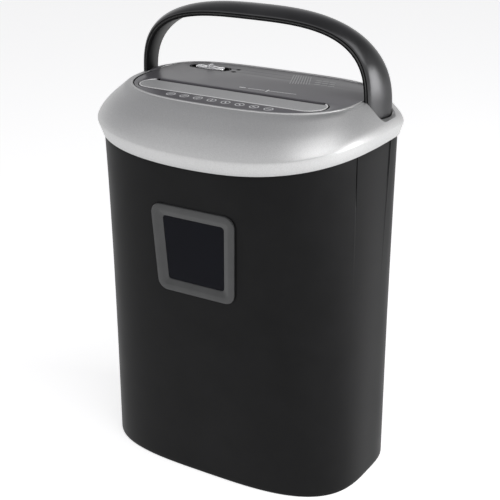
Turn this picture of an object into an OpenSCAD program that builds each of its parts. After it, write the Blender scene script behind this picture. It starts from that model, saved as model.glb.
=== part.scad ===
// Paper shredder: a tapered waste bin with a lift-off cutting head and a fixed carry handle.
// Millimetres. X is the width, Y points to the back, Z is up.
// The origin is on the floor, under the centre of the shredder.

/* [Bin] */
// Width of the bin at its rim
bin_w = 330; // [322:1:338]
// Depth of the bin at its rim
bin_d = 204; // [200:1:210]
// Height of the bin's rim at its sides and back
bin_h = 409; // [400:1:418]
// How far the foot sits in from the rim at each side
foot_in_side = 0.5; // [0:0.5:4]
// How far the foot sits in from the rim at the front
foot_in_front = 12.5; // [10:0.5:16]
// How far the foot sits in from the rim at the back
foot_in_back = 8; // [5:0.5:10]
// Wall thickness of the bin
bin_wall = 2.4; // [2.2:0.1:2.8]
// Height of the floor's upper face
floor_z = 6; // [5:0.5:8]
// Depth of the finger flutes in the sides
flute_depth = 1.1; // [0.8:0.1:1.3]

/* [Window] */
// Width of the window frame at its top
win_w_top = 110; // [104:1:114]
// Width of the window frame at its bottom
win_w_low = 101; // [96:1:106]
// Height of the window frame
win_h = 105; // [98:1:110]
// Height of the frame's middle above the floor
win_z = 286; // [278:1:294]
// Width of the frame's face around the pane
win_border = 14; // [12:0.5:15]
// Corner radius of the frame
win_r = 13; // [10:0.5:15]

/* [Head] */
// How far the skirt's edge hangs below the rim
skirt_lap = 5.5; // [4.5:0.5:7]
// How much lower the skirt's edge is at the middle of the front
edge_drop = 18; // [14:1:20]
// Height of the head above the skirt's side edge
head_h = 44.5; // [43:0.5:46]
// Height of the bright band above the skirt's edge
band_h = 13.5; // [12:0.5:15]
// How far the band flares out over the bin
band_out = 5.9; // [5:0.1:6.5]
// How far the flat top sits in from the rim at each side
top_in = 23.5; // [22:0.5:25]
// Distance from the centre line to the front of the flat top
top_front = 67; // [65:1:70]
// Distance from the centre line to the back of the flat top
top_back = 104.5; // [103:0.5:106]
// Wall thickness of the head cover
cover_wall = 2.4; // [2.2:0.1:2.6]
// Thickness of the top panel
panel_t = 3.2; // [2.8:0.1:3.4]

/* [Throat] */
// How far the paper slot's ends sit in from the rim
slot_in = 54; // [53:0.5:57]
// Width of the paper slot
slot_t = 5; // [4.6:0.1:5.4]
// Y of the middle of the paper slot
slot_y = -1.6; // [-2:0.1:-1]
// How far the feed tray reaches past the slot at each end
tray_over = 9; // [7:0.5:11]
// Depth of the feed tray
tray_d = 40.6; // [39:0.2:42]

/* [Handle] */
// How far the handle's front edge sits in from the rim at each side
handle_in = 15.5; // [14.5:0.5:16.5]
// Height of the handle's top above the head, at its front edge
handle_h = 81.5; // [76:0.5:90]
// Thickness of the handle
handle_t = 6.7; // [6.4:0.1:7.2]
// Depth of the handle, front to back
handle_d = 35.8; // [34:0.1:37]
// Y of the handle's front edge
handle_y = 24.5; // [23.5:0.1:26]
// How far the back edge flares out at the legs
leg_flare = 11.1; // [10.5:0.1:11.6]
// How much higher the back edge is at the top
top_flare = 4.8; // [4:0.1:6]
// How far the outer face bulges along its middle
handle_crown = 4.8; // [3.8:0.2:5.2]

/* [Switch] */
// How far the mode switch's middle sits in from the left end of the flat top
switch_in = 54.5; // [52:0.5:57]
// Y of the mode switch
switch_y = 74.5; // [73:0.5:77]
// Length of the switch recess
recess_l = 54; // [52:1:56]
// Width of the switch recess
recess_w = 16; // [15:0.5:18]
// Travel of the slider to each side
switch_travel = 6; // [5:0.5:6]

/* [Cutters] */
// Radius of a cutter disc over its teeth
disc_r = 17; // [16.5:0.1:17.2]
// Thickness of a cutter disc
disc_t = 4; // [3.8:0.05:4.05]
// Distance from one disc to the next on a shaft
disc_pitch = 8.4; // [8.3:0.05:8.45]
// Distance between the two cutter shafts
shaft_gap = 30; // [29.7:0.1:30.3]
// Radius of a shaft's journals
journal_r = 6; // [5.5:0.1:6.2]
// Thickness of a frame plate
plate_t = 2; // [1.6:0.1:2.2]

/* [Drive] */
// Radius of the motor's can
motor_r = 20.5; // [19:0.5:20.5]
// Length of the motor's can
motor_l = 92; // [84:1:94]

/* [Hidden] */

$fn = 48;
eps = 0.01;
fit = 0.06;      // radial clearance of a shaft that turns in its bush
gap = 0.3;       // clearance between pieces that move past each other
seat = 0.05;     // clearance between pieces that are fixed together
ring_n = 72;     // points round a lofted ring

// ---- Widths that follow from the bin's width ----
top_w = bin_w - 2 * top_in;
slot_w = bin_w - 2 * slot_in;
tray_w = slot_w + 2 * tray_over;
handle_w = bin_w - 2 * handle_in;
plate_gap = slot_w;       // the frame plates stand at the ends of the slot
disc_n = floor((plate_gap - 2) / disc_pitch);

// ---- Layout of the cutter block, the gear train and the tub ----
shaft_z = bin_h - 17;
front_y = slot_y - shaft_gap / 2;
rear_y = slot_y + shaft_gap / 2;
plate_x = plate_gap / 2;
bush_flange = 1.5;
heavy_m = 1.5;       // tooth module of the sync gears and the final drive
light_m = 1;         // tooth module of the first reduction
sync_teeth = 20;
final_teeth = 40;
idler_small = 12;
idler_large = 48;
pinion_teeth = 12;
sync_x = plate_x + plate_t + bush_flange + 0.5;
sync_t = 6;
final_x = sync_x + sync_t + 0.8;
final_t = 6.4;
large_x = final_x + final_t + 1;
large_t = 5.8;
// The idler sits behind and above the rear shaft, the motor behind and below the idler
idler_gap = heavy_m * (final_teeth + idler_small) / 2;
motor_gap = light_m * (idler_large + pinion_teeth) / 2;
idler_rise = 19;
motor_fall = 23;
idler_y = rear_y + sqrt(idler_gap * idler_gap - idler_rise * idler_rise);
idler_z = shaft_z + idler_rise;
motor_y = idler_y + sqrt(motor_gap * motor_gap - motor_fall * motor_fall);
motor_z = idler_z - motor_fall;
lid_x = large_x + large_t + 1.5;
lid_t = 1.5;
tub_x0 = -plate_x - plate_t - 7.6;
tub_x1 = lid_x + lid_t + 3;
tub_y0 = -48;
tub_y1 = 90;
bay_x = plate_x + 8;      // the gear bay reaches past this x
bay_y = -43;
tub_wall = 2.4;
tub_z = bin_h - 53;       // upper face of the tub's floor

// ---- Levels and plan outlines ----
skirt_z = bin_h - skirt_lap;
top_z = skirt_z + head_h;
flange_t = 3;
flange_z = bin_h + flange_t;
rim_mid = 55;    // y of the widest line at the rim
foot_mid = 15;   // y of the widest line at the foot
top_mid = 27;    // y of the widest line of the flat top
rim_n = 3.37;    // squareness of each outline
foot_n = 3.25;
top_n = 2.72;
back_n = 3;
foot_back_n = 3.8;
top_back_n = 3.6;
flare = 0.57;    // share of the taper that falls near the rim

function mix(a, b, t) = a + (b - a) * t;
function drop(x) = edge_drop * (1 - pow(min(abs(x) / (bin_w / 2), 1), 2));

// One point of an outline: half width, front, widest line, back and the squareness of both halves
function plan_point(p, a) =
    let (c = cos(a), s = sin(a), n = s < 0 ? p[4] : p[5])
    [p[0] * sign(c) * pow(abs(c), 2 / n),
     p[2] + (s < 0 ? p[1] - p[2] : p[3] - p[2]) * pow(abs(s), 2 / n)];
function plan(p, n = ring_n) = [for (i = [0:n - 1]) plan_point(p, 360 * i / n)];
function grow(p, d) = [p[0] + d, p[1] - d, p[2], p[3] + d, p[4], p[5]];

rim_plan = [bin_w / 2, -bin_d / 2, rim_mid, bin_d / 2, rim_n, back_n];
top_plan = [top_w / 2, -top_front, top_mid, top_back, top_n, top_back_n];

// A closed surface through a stack of rings; loop joins the last ring to the first
module skin(rings, loop = false) {
    n = len(rings[0]);
    m = len(rings);
    sides = [for (j = [0:m - (loop ? 1 : 2)], i = [0:n - 1])
        let (k = (i + 1) % n, a = j * n, b = ((j + 1) % m) * n)
        each [[a + i, b + i, b + k], [a + i, b + k, a + k]]];
    caps = loop ? [] : [[for (i = [0:n - 1]) i], [for (i = [n - 1:-1:0]) (m - 1) * n + i]];
    polyhedron(points = [for (r = rings) each r], faces = concat(sides, caps));
}

// A slot shape with round ends, along X
module stadium(l, w) {
    hull() for (s = [-1, 1]) translate([s * (l - w) / 2, 0]) circle(d = w, $fn = 32);
}

// Rod along X from x0 to x1
module rod_x(r, x0, x1, y = 0, z = 0) {
    translate([x0, y, z]) rotate([0, 90, 0]) cylinder(r = r, h = x1 - x0);
}

// ---- Bin ----
function bin_plan(t) =
    let (k = (1 - flare) * (1 - t) + flare * (1 - pow(t, 3)))
    [bin_w / 2 - foot_in_side * k, -bin_d / 2 + foot_in_front * k, mix(foot_mid, rim_mid, t),
     bin_d / 2 - foot_in_back * k, mix(foot_n, rim_n, t), mix(foot_back_n, back_n, t)];
// A shallow finger flute under the skirt on each side fades out downwards
flute_a = 12.5;  // half the angle that a flute takes of the outline
flute_low = 0.6; // where the flutes start, as a share of the height
function in_flute(a) = min(a % 180, 180 - a % 180) < flute_a;
bin_angles = [for (i = [0:ring_n - 1]) let (a = 360 * i / ring_n, b = 360 * (i + 1) / ring_n)
    each concat([a], [for (e = [flute_a, 180 - flute_a, 180 + flute_a, 360 - flute_a])
        if (e > a && e < b) each [e - 0.15, e + 0.15]])];
function bin_ring(z, inset = 0, fluted = false) =
    let (t = z / bin_h, p = grow(bin_plan(t), -inset),
         f = grow(p, fluted ? -flute_depth * max(0, (t - flute_low) / (1 - flute_low)) : 0))
    [for (a = bin_angles) let (q = plan_point(in_flute(a) ? f : p, a))
        [q[0], q[1], z - (q[1] < p[2] ? drop(q[0]) * pow(t, 8) : 0)]];
// Y of the bin's front face on the centre line
function bin_front(z) = bin_plan(z / bin_h)[1];

bin_levels = [for (t = [0.15, 0.3, 0.45, 0.6, 0.72, 0.82, 0.9, 0.96, 1]) t * bin_h];
foot_ring = 7;   // width of the ring that the bin stands on
module bin_outer() {
    skin(concat([bin_ring(0, 1.5), bin_ring(3)], [for (z = bin_levels) bin_ring(z, 0, true)]));
}

// Interlock tab inside the bin's left wall
lock_x = 15 - bin_w / 2;
lock_y = 8;
lock_z = bin_h - 6;
lock_r = 2.6;
tab_w = 14;

module bin_shell() {
    color("#1c1c1e") {
        difference() {
            skin(concat(
                [bin_ring(2, foot_ring + 1.5), bin_ring(0, foot_ring), bin_ring(0, 1.5), bin_ring(3)],
                [for (z = bin_levels) bin_ring(z, 0, true)],
                [for (i = [len(bin_levels) - 1:-1:0]) bin_ring(bin_levels[i], bin_wall)],
                [bin_ring(floor_z + 8, bin_wall), bin_ring(floor_z, bin_wall + 6)]));
            window_place(-12) linear_extrude(24) window_outline(-win_border + 5);
        }
        interlock_tab();
    }
}
module interlock_tab() {
    // a rib on the side wall with a flat top that lifts the plunger
    x = -bin_w / 2 + bin_wall - 1;
    rotate([90, 0, 0]) translate([0, 0, -lock_y - tab_w / 2]) linear_extrude(tab_w)
        polygon([[x, lock_z - 45], [x, lock_z], [lock_x + 4, lock_z], [lock_x + 4, lock_z - 12]]);
}

// ---- Window ----
win_lean = atan((bin_front(win_z - win_h / 2) - bin_front(win_z + win_h / 2)) / win_h);
win_proud = 2.6;
module window_place(d = 0) {
    // local x is the width, y runs up the face and z points out of it
    translate([0, bin_front(win_z), win_z]) rotate([90 + win_lean, 0, 0]) translate([0, 0, d]) children();
}
module window_outline(d) {
    r = max(win_r + d, 4);
    offset(r = r) offset(delta = d - r)
        polygon([[-win_w_low / 2, -win_h / 2], [win_w_low / 2, -win_h / 2],
                 [win_w_top / 2, win_h / 2], [-win_w_top / 2, win_h / 2]]);
}
neck = win_border - 5 + seat;     // the clip-in neck is this far inside the frame's edge
module window_frame() {
    color("#8f9194") difference() {
        union() {
            difference() {
                window_place(-4) linear_extrude(4 + win_proud) window_outline(0);
                bin_outer();
            }
            window_place(-4) linear_extrude(4 + win_proud) window_outline(-neck);
        }
        window_place(-20) linear_extrude(40) window_outline(-win_border);
        window_place(-20) linear_extrude(20 + win_proud - 3) window_outline(-neck - 2);
    }
}
module window_pane() {
    color("#2a2d3a") window_place(-4) linear_extrude(4 + win_proud - 3) window_outline(-neck - 2 - seat);
}

// ---- Head cover ----
// Share of the way from the band to the flat top: across and up
dome_steps = [[0, 0.14], [0.1, 0.3], [0.45, 0.61], [0.8, 0.86]];
// The dome stands fuller at its sides than at the front and back
function shoulder(a, across) = 0.12 * pow(cos(a), 4) * across / 0.8;
function cover_ring(out, across, up, dz = 0) =
    [for (i = [0:ring_n - 1])
        let (a = 360 * i / ring_n,
             e = plan_point(grow(rim_plan, band_out + out), a),
             t = plan_point(grow(top_plan, out), a),
             low = skirt_z + band_h - (sin(a) < 0 ? drop(e[0]) : 0))
        [mix(e[0], t[0], across), mix(e[1], t[1], across), mix(low, top_z, up + shoulder(a, across)) + dz]];
function skirt_ring(out) =
    [for (i = [0:ring_n - 1])
        let (a = 360 * i / ring_n, e = plan_point(grow(rim_plan, out), a))
        [e[0], e[1], skirt_z - (sin(a) < 0 ? drop(e[0]) : 0)]];
function level_ring(out, z) = [for (q = plan(grow(top_plan, out))) [q[0], q[1], z]];
lip_t = 1.5;      // thickness of the skirt's edge
rim_t = 2;        // width of the bright rim round the panel
ledge = 4;        // width of the ledge that carries the panel
panel_low = top_z - 0.4 - panel_t;
cover_posts = [-12, 40, 66, 114, 140, 192];
// Pocket in each side of the dome, where a leg of the handle stands
pocket_z = bin_h + 18.5;
pocket_r = 9;
pocket_wall = 1.8;
module pocket(side, c) {
    y0 = handle_y - 3 * gap - c;
    y1 = handle_y + handle_d + 3 * gap + c;
    w = handle_w / 2 - handle_t / 2 - c;
    intersection() {
        translate([side > 0 ? 100 : -200, 0, 0]) rotate([90, 0, 90]) linear_extrude(100) hull() {
            for (y = [y0 + pocket_r, y1 - pocket_r]) translate([y, pocket_z - c + pocket_r]) circle(pocket_r);
            translate([y0, top_z]) square([y1 - y0, 30]);
        }
        linear_extrude(2 * bin_h) polygon([[side * w, y0 - 1], [side * (w + 60), y0 - 1],
            [side * (w + 60), y1 + 1], [side * (w + leg_flare), y1 + 1]]);
    }
}
// The dome as a solid body, its surface in the middle of the cover's wall
module dome_core() {
    skin(concat([cover_ring(-1.1, 0, 0)], [for (s = dome_steps) cover_ring(-1.1, s[0], s[1], -1.1 * s[0])],
        [level_ring(-1.1, top_z - 1.9)]));
}
module head_cover() {
    color("#b9babd") difference() {
        union() {
            skin(concat(
                [skirt_ring(gap + lip_t), cover_ring(0, 0, 0)],
                [for (s = dome_steps) cover_ring(0, s[0], s[1])],
                [level_ring(0, top_z - 0.8), level_ring(-0.7, top_z), level_ring(-rim_t, top_z),
                 level_ring(-rim_t, panel_low), level_ring(-rim_t - ledge, panel_low),
                 level_ring(-rim_t - ledge, panel_low - 2)],
                [for (i = [len(dome_steps) - 1:-1:0])
                    cover_ring(-cover_wall, dome_steps[i][0], dome_steps[i][1], -cover_wall * dome_steps[i][0])],
                [cover_ring(-cover_wall, 0, 0), skirt_ring(gap)]), loop = true);
            // posts inside the wall that stand on the chassis flange
            for (a = cover_posts) let (q = plan_point(grow(rim_plan, 0.5), a))
                translate([q[0], q[1], flange_z]) cylinder(r = 3, h = 7, $fn = 24);
            for (s = [-1, 1]) intersection() {
                dome_core();
                pocket(s, pocket_wall);
            }
        }
        for (s = [-1, 1]) {
            translate([0, 0, skirt_z + band_h]) linear_extrude(60) leg_section(s, gap);
            pocket(s, 0);
        }
        // hole for the cord gland in the back wall
        translate([gland_x, top_back - 12, gland_z]) rotate([-90, 0, 0]) cylinder(r = gland_r + seat, h = 30);
    }
}

// ---- Top panel ----
panel_plan = grow(top_plan, -rim_t - 0.4);
tray_y = slot_y + slot_t / 2 + 1.9 - tray_d / 2;
front_boss_y = 14.8 - top_front;
back_boss_y = top_back - 10.1;
side_boss_x = tub_x0 - 4.2;
boss_spots = [[-55, front_boss_y], [55, front_boss_y], [side_boss_x, 14], [side_boss_x, 60],
              [-34, back_boss_y], [34, back_boss_y]];
boss_r = 3.5;
boss_bore = 1.4;
module top_panel() {
    color("#6e6c72") difference() {
        union() {
            translate([0, 0, panel_low]) linear_extrude(panel_t) polygon(plan(panel_plan));
            for (b = boss_spots) translate([b[0], b[1], flange_z])
                cylinder(r = boss_r, h = panel_low + 1 - flange_z);
        }
        for (b = boss_spots) translate([b[0], b[1], flange_z - 1]) cylinder(r = boss_bore, h = 16, $fn = 24);
        translate([0, tray_y, panel_low - 1]) linear_extrude(panel_t + 2) stadium(tray_w + 2 * seat, tray_d + 2 * seat);
        translate([switch_x, switch_y, panel_low - 1]) linear_extrude(panel_t + 2) stadium(recess_l, recess_w);
        for (q = light_spots) translate([q[0], q[1], panel_low - 1]) cylinder(r = light_r + seat, h = 10);
    }
}

// ---- Feed tray ----
tray_lip = 1.6;
tray_top = top_z + 0.2;
tray_low = panel_low - 4;
ramp_fall = 2;            // how much lower the ramp is at the slot
chute_z = bin_h + 5;      // lower end of the paper chute
chute_wall = 1.6;
module feed_tray() {
    color("#b0b1b4") difference() {
        union() {
            translate([0, tray_y, tray_low]) linear_extrude(tray_top - tray_low) stadium(tray_w, tray_d);
            translate([0, tray_y, panel_low - 1.6]) linear_extrude(1.6 - seat) stadium(tray_w + 2, tray_d + 2);
            translate([-slot_w / 2 - chute_wall, slot_y - slot_t / 2 - chute_wall, chute_z])
                cube([slot_w + 2 * chute_wall, slot_t + 2 * chute_wall, tray_low + 1 - chute_z]);
            sensor_ears();
        }
        intersection() {
            translate([0, tray_y, tray_low]) linear_extrude(40) stadium(tray_w - 2 * tray_lip, tray_d - 2 * tray_lip);
            translate([-tray_w / 2, tray_y - tray_d / 2 + tray_lip, tray_top - 0.4])
                rotate([-atan(ramp_fall / (tray_d - 2 * tray_lip)), 0, 0]) cube([tray_w, tray_d * 1.2, 40]);
        }
        translate([-slot_w / 2, slot_y - slot_t / 2, chute_z - 1]) cube([slot_w, slot_t, 60]);
        // window for the sensor lever in the chute's back wall
        translate([-3, slot_y, chute_z - 1]) cube([6, slot_t + 4, 17]);
    }
}

// ---- Head chassis ----
shred_x = plate_gap / 2 - 1;
shred_y = shaft_gap / 2 + disc_r + 3;
module tub_outline(d = 0) {
    offset(r = 4 + d) offset(delta = -4)
        polygon([[tub_x0, tub_y0], [bay_x, tub_y0], [bay_x, bay_y], [tub_x1, bay_y], [tub_x1, tub_y1 - 10],
                 [bay_x - 1, tub_y1], [tub_x0 + 24, tub_y1], [tub_x0, tub_y1 - 10]]);
}
board_z = motor_z + motor_r + 2.5;
board_x = tub_x0 + 10;    // left end of the circuit board
board_y = 40;             // front edge of the circuit board
board_l = 84;
board_w = 40;
board_in = 6;             // how far the screws sit in from the board's edges
board_spots = [for (x = [board_in, board_l - board_in], y = [board_in, board_w - board_in])
    [board_x + x, board_y + y]];
module head_chassis() {
    color("#222224") difference() {
        union() {
            difference() {
                translate([0, 0, bin_h]) linear_extrude(flange_t) polygon(plan(grow(rim_plan, -0.6)));
                translate([0, 0, bin_h - 1]) linear_extrude(flange_t + 2) tub_outline(-tub_wall);
            }
            translate([0, 0, tub_z - tub_wall]) linear_extrude(bin_h + 1 - tub_z + tub_wall) difference() {
                tub_outline();
                tub_outline(-tub_wall);
            }
            translate([0, 0, tub_z - tub_wall]) linear_extrude(tub_wall) difference() {
                tub_outline(-1);
                translate([-shred_x, slot_y - shred_y]) square([2 * shred_x, 2 * shred_y]);
            }
            for (b = board_spots) translate([b[0], b[1], tub_z - 1]) cylinder(r = 3.5, h = board_z - tub_z + 1);
            translate([lock_x, lock_y, bin_h + 1]) cylinder(r = lock_r + gap + 2, h = 5);
        }
        for (b = boss_spots) translate([b[0], b[1], bin_h - 5]) cylinder(r = 1.8, h = 20, $fn = 24);
        for (q = handle_screw_spots) translate([q[0], q[1], bin_h - 5]) cylinder(r = 1.8, h = 20, $fn = 24);
        translate([lock_x, lock_y, bin_h - 5]) cylinder(r = lock_r + gap, h = 20);
    }
}
// ---- Handle ----
front_arch_n = 3.24;      // squareness of the arch's front and back edges
back_arch_n = 2.57;
leg_low = flange_z;
arch_z = top_z - 12.5;    // height where the arch grows out of its straight legs
arch_h = handle_h + 12.5;
arch_steps = 24;
foot_angles = [0, 2, 5];  // finer steps where the arch leaves the cover
arch_angles = concat(foot_angles, [for (i = [1:arch_steps - 1]) 180 * i / arch_steps],
    [for (i = [len(foot_angles) - 1:-1:0]) 180 - foot_angles[i]]);
split = 0.5;              // where the two mouldings meet, as a share of the thickness
seam_bow = 0.1;           // how much of the crown the seam between them follows
crown_steps = [0.25, 0.5, 0.75];
function crown(f) = handle_crown * (1 - pow(2 * f - 1, 2));
// One point of the arch at share f of the depth and d inside the outer face
function arch_point(a, f, d) =
    let (w = handle_w / 2 + leg_flare * f - d, h = arch_h + top_flare * f - d,
         c = cos(a), s = sin(a), n = mix(front_arch_n, back_arch_n, f))
    [w * sign(c) * pow(abs(c), 2 / n), handle_y + handle_d * f, arch_z + h * pow(abs(s), 2 / n)];
function leg_point(side, f, d, z) =
    [side * (handle_w / 2 + leg_flare * f - d), handle_y + handle_d * f, z];
// A band of the handle between depths d0 and d1 below its outer face; b0 and b1 are the shares
// of the crown that its two faces take
function band_section(a, d0, b0, d1, b1, leg = 0, z = 0) =
    [for (q = concat([[0, d0]], [for (f = crown_steps) [f, d0 - b0 * crown(f)]], [[1, d0], [1, d1]],
            b1 > 0 ? [for (i = [len(crown_steps) - 1:-1:0]) let (f = crown_steps[i]) [f, d1 - b1 * crown(f)]] : [],
            [[0, d1]]))
        leg == 0 ? arch_point(a, q[0], q[1]) : leg_point(leg, q[0], q[1], z)];
module handle_band(d0, b0, d1, b1) {
    // from the right foot over the arch to the left foot
    skin(concat(
        [band_section(0, d0, b0, d1, b1, 1, leg_low)],
        [for (a = arch_angles) band_section(a, d0, b0, d1, b1)],
        [band_section(0, d0, b0, d1, b1, -1, leg_low)]));
}
// Footprint of one leg, grown by c
module leg_section(side, c) {
    w0 = handle_w / 2;
    w1 = w0 + leg_flare;
    polygon(concat([[side * (w0 - handle_t - c), handle_y - c], [side * (w0 + c), handle_y - c]],
        [for (f = crown_steps) [side * (mix(w0, w1, f) + crown(f) + c), handle_y + handle_d * f]],
        [[side * (w1 + c), handle_y + handle_d + c], [side * (w1 - handle_t - c), handle_y + handle_d + c]]));
}
// The screws stand in the middle of the outer moulding
handle_screw_spots = [for (s = [-1, 1], f = [0.35, 0.65])
    [s * (handle_w / 2 + leg_flare * f + ((1 + seam_bow) * crown(f) - handle_t * split) / 2),
     handle_y + handle_d * f]];
module handle_outer() {
    color("#1b1b1d") difference() {
        handle_band(0, 1, handle_t * split, seam_bow);
        handle_screw_holes();
    }
}
module handle_inner() {
    color("#202022") handle_band(handle_t * split + 3 * seat, seam_bow, handle_t, 0);
}
module handle_screw_holes() {
    for (q = handle_screw_spots) translate([q[0], q[1], leg_low - 1]) cylinder(r = 1.4, h = 14, $fn = 24);
}

// ---- Mode switch, lights and cord gland ----
recess_wall = 1.2;
recess_floor = panel_low + 0.2;
bezel_low = panel_low - 2.6;
knob_l = recess_l - 2 * recess_wall - 2 * switch_travel - 2 * gap;
knob_w = recess_w - 2 * recess_wall - 2 * gap;
stem_l = 6;
stem_w = 3;
switch_x = switch_in - top_w / 2;
module at_switch(z) { translate([switch_x, switch_y, z]) children(); }
module switch_bezel() {
    color("#161617") difference() {
        at_switch(bezel_low) linear_extrude(top_z - 0.4 - bezel_low) stadium(recess_l - 2 * seat, recess_w - 2 * seat);
        at_switch(recess_floor) linear_extrude(10)
            stadium(recess_l - 2 * recess_wall, recess_w - 2 * recess_wall);
        at_switch(bezel_low - 1) translate([-stem_l / 2 - switch_travel - gap, -stem_w / 2 - gap])
            cube([stem_l + 2 * switch_travel + 2 * gap, stem_w + 2 * gap, 10]);
    }
}
switch_body_h = 12;
module switch_body() {
    color("#2c2c30") difference() {
        at_switch(bezel_low - switch_body_h) translate([-16, -7]) cube([32, 14, switch_body_h]);
        at_switch(bezel_low - 5) translate([-stem_l / 2 - switch_travel - gap, -stem_w / 2 - gap])
            cube([stem_l + 2 * switch_travel + 2 * gap, stem_w + 2 * gap, 10]);
    }
}
knob_top = top_z + 0.8;
module mode_slider() {
    color("#d6d7da") {
        difference() {
            at_switch(recess_floor + gap) linear_extrude(knob_top - recess_floor - gap) stadium(knob_l, knob_w);
            // finger dishes on both sides of the middle rib
            for (s = [-1, 1]) at_switch(knob_top + 13.2) translate([s * knob_l / 4, 0])
                rotate([90, 0, 0]) cylinder(r = 14.4, h = knob_w + 2, center = true);
        }
        at_switch(knob_top - 1) translate([-2, -knob_w / 2 + 1]) cube([4, knob_w - 2, 3.4]);
        at_switch(bezel_low - 3) translate([-stem_l / 2, -stem_w / 2])
            cube([stem_l, stem_w, recess_floor + gap + 1 - bezel_low + 3]);
    }
}
light_r = 1.7;
light_spots = [for (y = [-4.5, 6.5]) [switch_x + 36, switch_y + y]];
module indicator_lights() {
    color("#3a3f3a") for (q = light_spots) translate([q[0], q[1], panel_low - 3])
        cylinder(r = light_r, h = panel_t + 2.9, $fn = 24);
}
gland_x = -20;
gland_z = skirt_z + 21;
gland_r = 7;
gland_bore = 3.6;
gland_end = bin_d / 2 + band_out - 0.3;
module cord_gland() {
    color("#151515") translate([gland_x, gland_end, gland_z]) rotate([90, 0, 0]) difference() {
        union() {
            cylinder(r = gland_r, h = 12);
            translate([0, 0, cover_wall + 1.2]) cylinder(r = gland_r + 2.4, h = 2);
        }
        translate([0, 0, -1]) cylinder(r = gland_bore, h = 20);
    }
}

// ---- Cutter block ----
rod_r = 3.2;
rod_dy = 27;
rod_dz = 20;
rod_spots = [for (sy = [-1, 1], sz = [-1, 1]) [slot_y + sy * rod_dy, shaft_z + sz * rod_dz]];
tenon_r = 2.5;
bush_r = 9;
// A flat shape in the Y-Z plane, thickened along X from x
module yz(x, t) { translate([x, 0, 0]) rotate([90, 0, 90]) linear_extrude(t) children(); }
module plate_holes() {
    for (y = [front_y, rear_y]) translate([y, shaft_z]) circle(r = bush_r + seat);
    for (q = rod_spots) translate(q) circle(r = tenon_r + seat);
    // open notch round the paper chute
    translate([slot_y - 7, chute_z - 2]) square([14, 40]);
}
plate_y0 = slot_y - 42;
plate_top = shaft_z + 33;
module left_frame_plate() {
    color("#9aa0a4") yz(-plate_x - plate_t, plate_t) difference() {
        polygon([[plate_y0, tub_z], [slot_y + 42, tub_z], [slot_y + 42, plate_top - 8], [slot_y + 34, plate_top],
                 [plate_y0 + 8, plate_top], [plate_y0, plate_top - 8]]);
        plate_holes();
    }
}
module right_frame_plate() {
    color("#9aa0a4") yz(plate_x, plate_t) difference() {
        polygon([[plate_y0, tub_z], [plate_back, tub_z], [plate_back, plate_top - 10], [plate_back - 10, plate_top],
                 [plate_y0 + 8, plate_top], [plate_y0, plate_top - 8]]);
        plate_holes();
        translate([motor_y, motor_z]) circle(r = motor_boss + seat);
        translate([idler_y, idler_z]) circle(r = idler_pin_r + seat);
        for (q = motor_screw_spots) translate(q) circle(r = 1.8);
    }
}
module tie_rods() {
    color("#c3c6c9") for (q = rod_spots) {
        rod_x(rod_r, -plate_x, plate_x, q[0], q[1]);
        rod_x(tenon_r, -plate_x - plate_t - 0.8, plate_x + plate_t + 0.8, q[0], q[1]);
    }
}
module shaft_bushes() {
    color("#a98245") for (s = [-1, 1], y = [front_y, rear_y]) difference() {
        union() {
            rod_x(bush_r, min(s * (plate_x - 0.4), s * (plate_x + plate_t)),
                max(s * (plate_x - 0.4), s * (plate_x + plate_t)), y, shaft_z);
            rod_x(bush_r + 2, min(s * (plate_x + plate_t), s * (plate_x + plate_t + bush_flange)),
                max(s * (plate_x + plate_t), s * (plate_x + plate_t + bush_flange)), y, shaft_z);
        }
        rod_x(journal_r + fit, -plate_x - 20, plate_x + 20, y, shaft_z);
    }
}
hex_r = 8;
hex_end = plate_x - 0.6;
shaft_left = plate_x + plate_t + 4.5;
clip_x = plate_x + plate_t + bush_flange + gap;
clip_t = 1;
module cutter_shaft(y, x_end) {
    difference() {
        union() {
            translate([-hex_end, y, shaft_z]) rotate([0, 90, 0]) cylinder(r = hex_r, h = 2 * hex_end, $fn = 6);
            rod_x(journal_r, -shaft_left, x_end, y, shaft_z);
        }
        // groove for the retaining clip
        difference() {
            rod_x(journal_r + 1, -clip_x - clip_t, -clip_x, y, shaft_z);
            rod_x(journal_r - 1, -clip_x - clip_t - 1, -clip_x + 1, y, shaft_z);
        }
    }
}
module shaft_clip(y) {
    difference() {
        rod_x(journal_r + 3, -clip_x - clip_t + seat, -clip_x - seat, y, shaft_z);
        rod_x(journal_r - 1 + seat, -clip_x - clip_t - 1, -clip_x + 1, y, shaft_z);
        translate([-clip_x - clip_t - 1, y - 3.5, shaft_z - 20]) cube([clip_t + 2, 7, 20]);
    }
}
module front_cutter_shaft() { color("#8d9296") cutter_shaft(front_y, sync_x + sync_t + 0.4); }
module rear_cutter_shaft() { color("#8d9296") cutter_shaft(rear_y, final_x + final_t + 0.2); }
module front_shaft_clip() { color("#5c6064") shaft_clip(front_y); }
module rear_shaft_clip() { color("#5c6064") shaft_clip(rear_y); }
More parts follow.
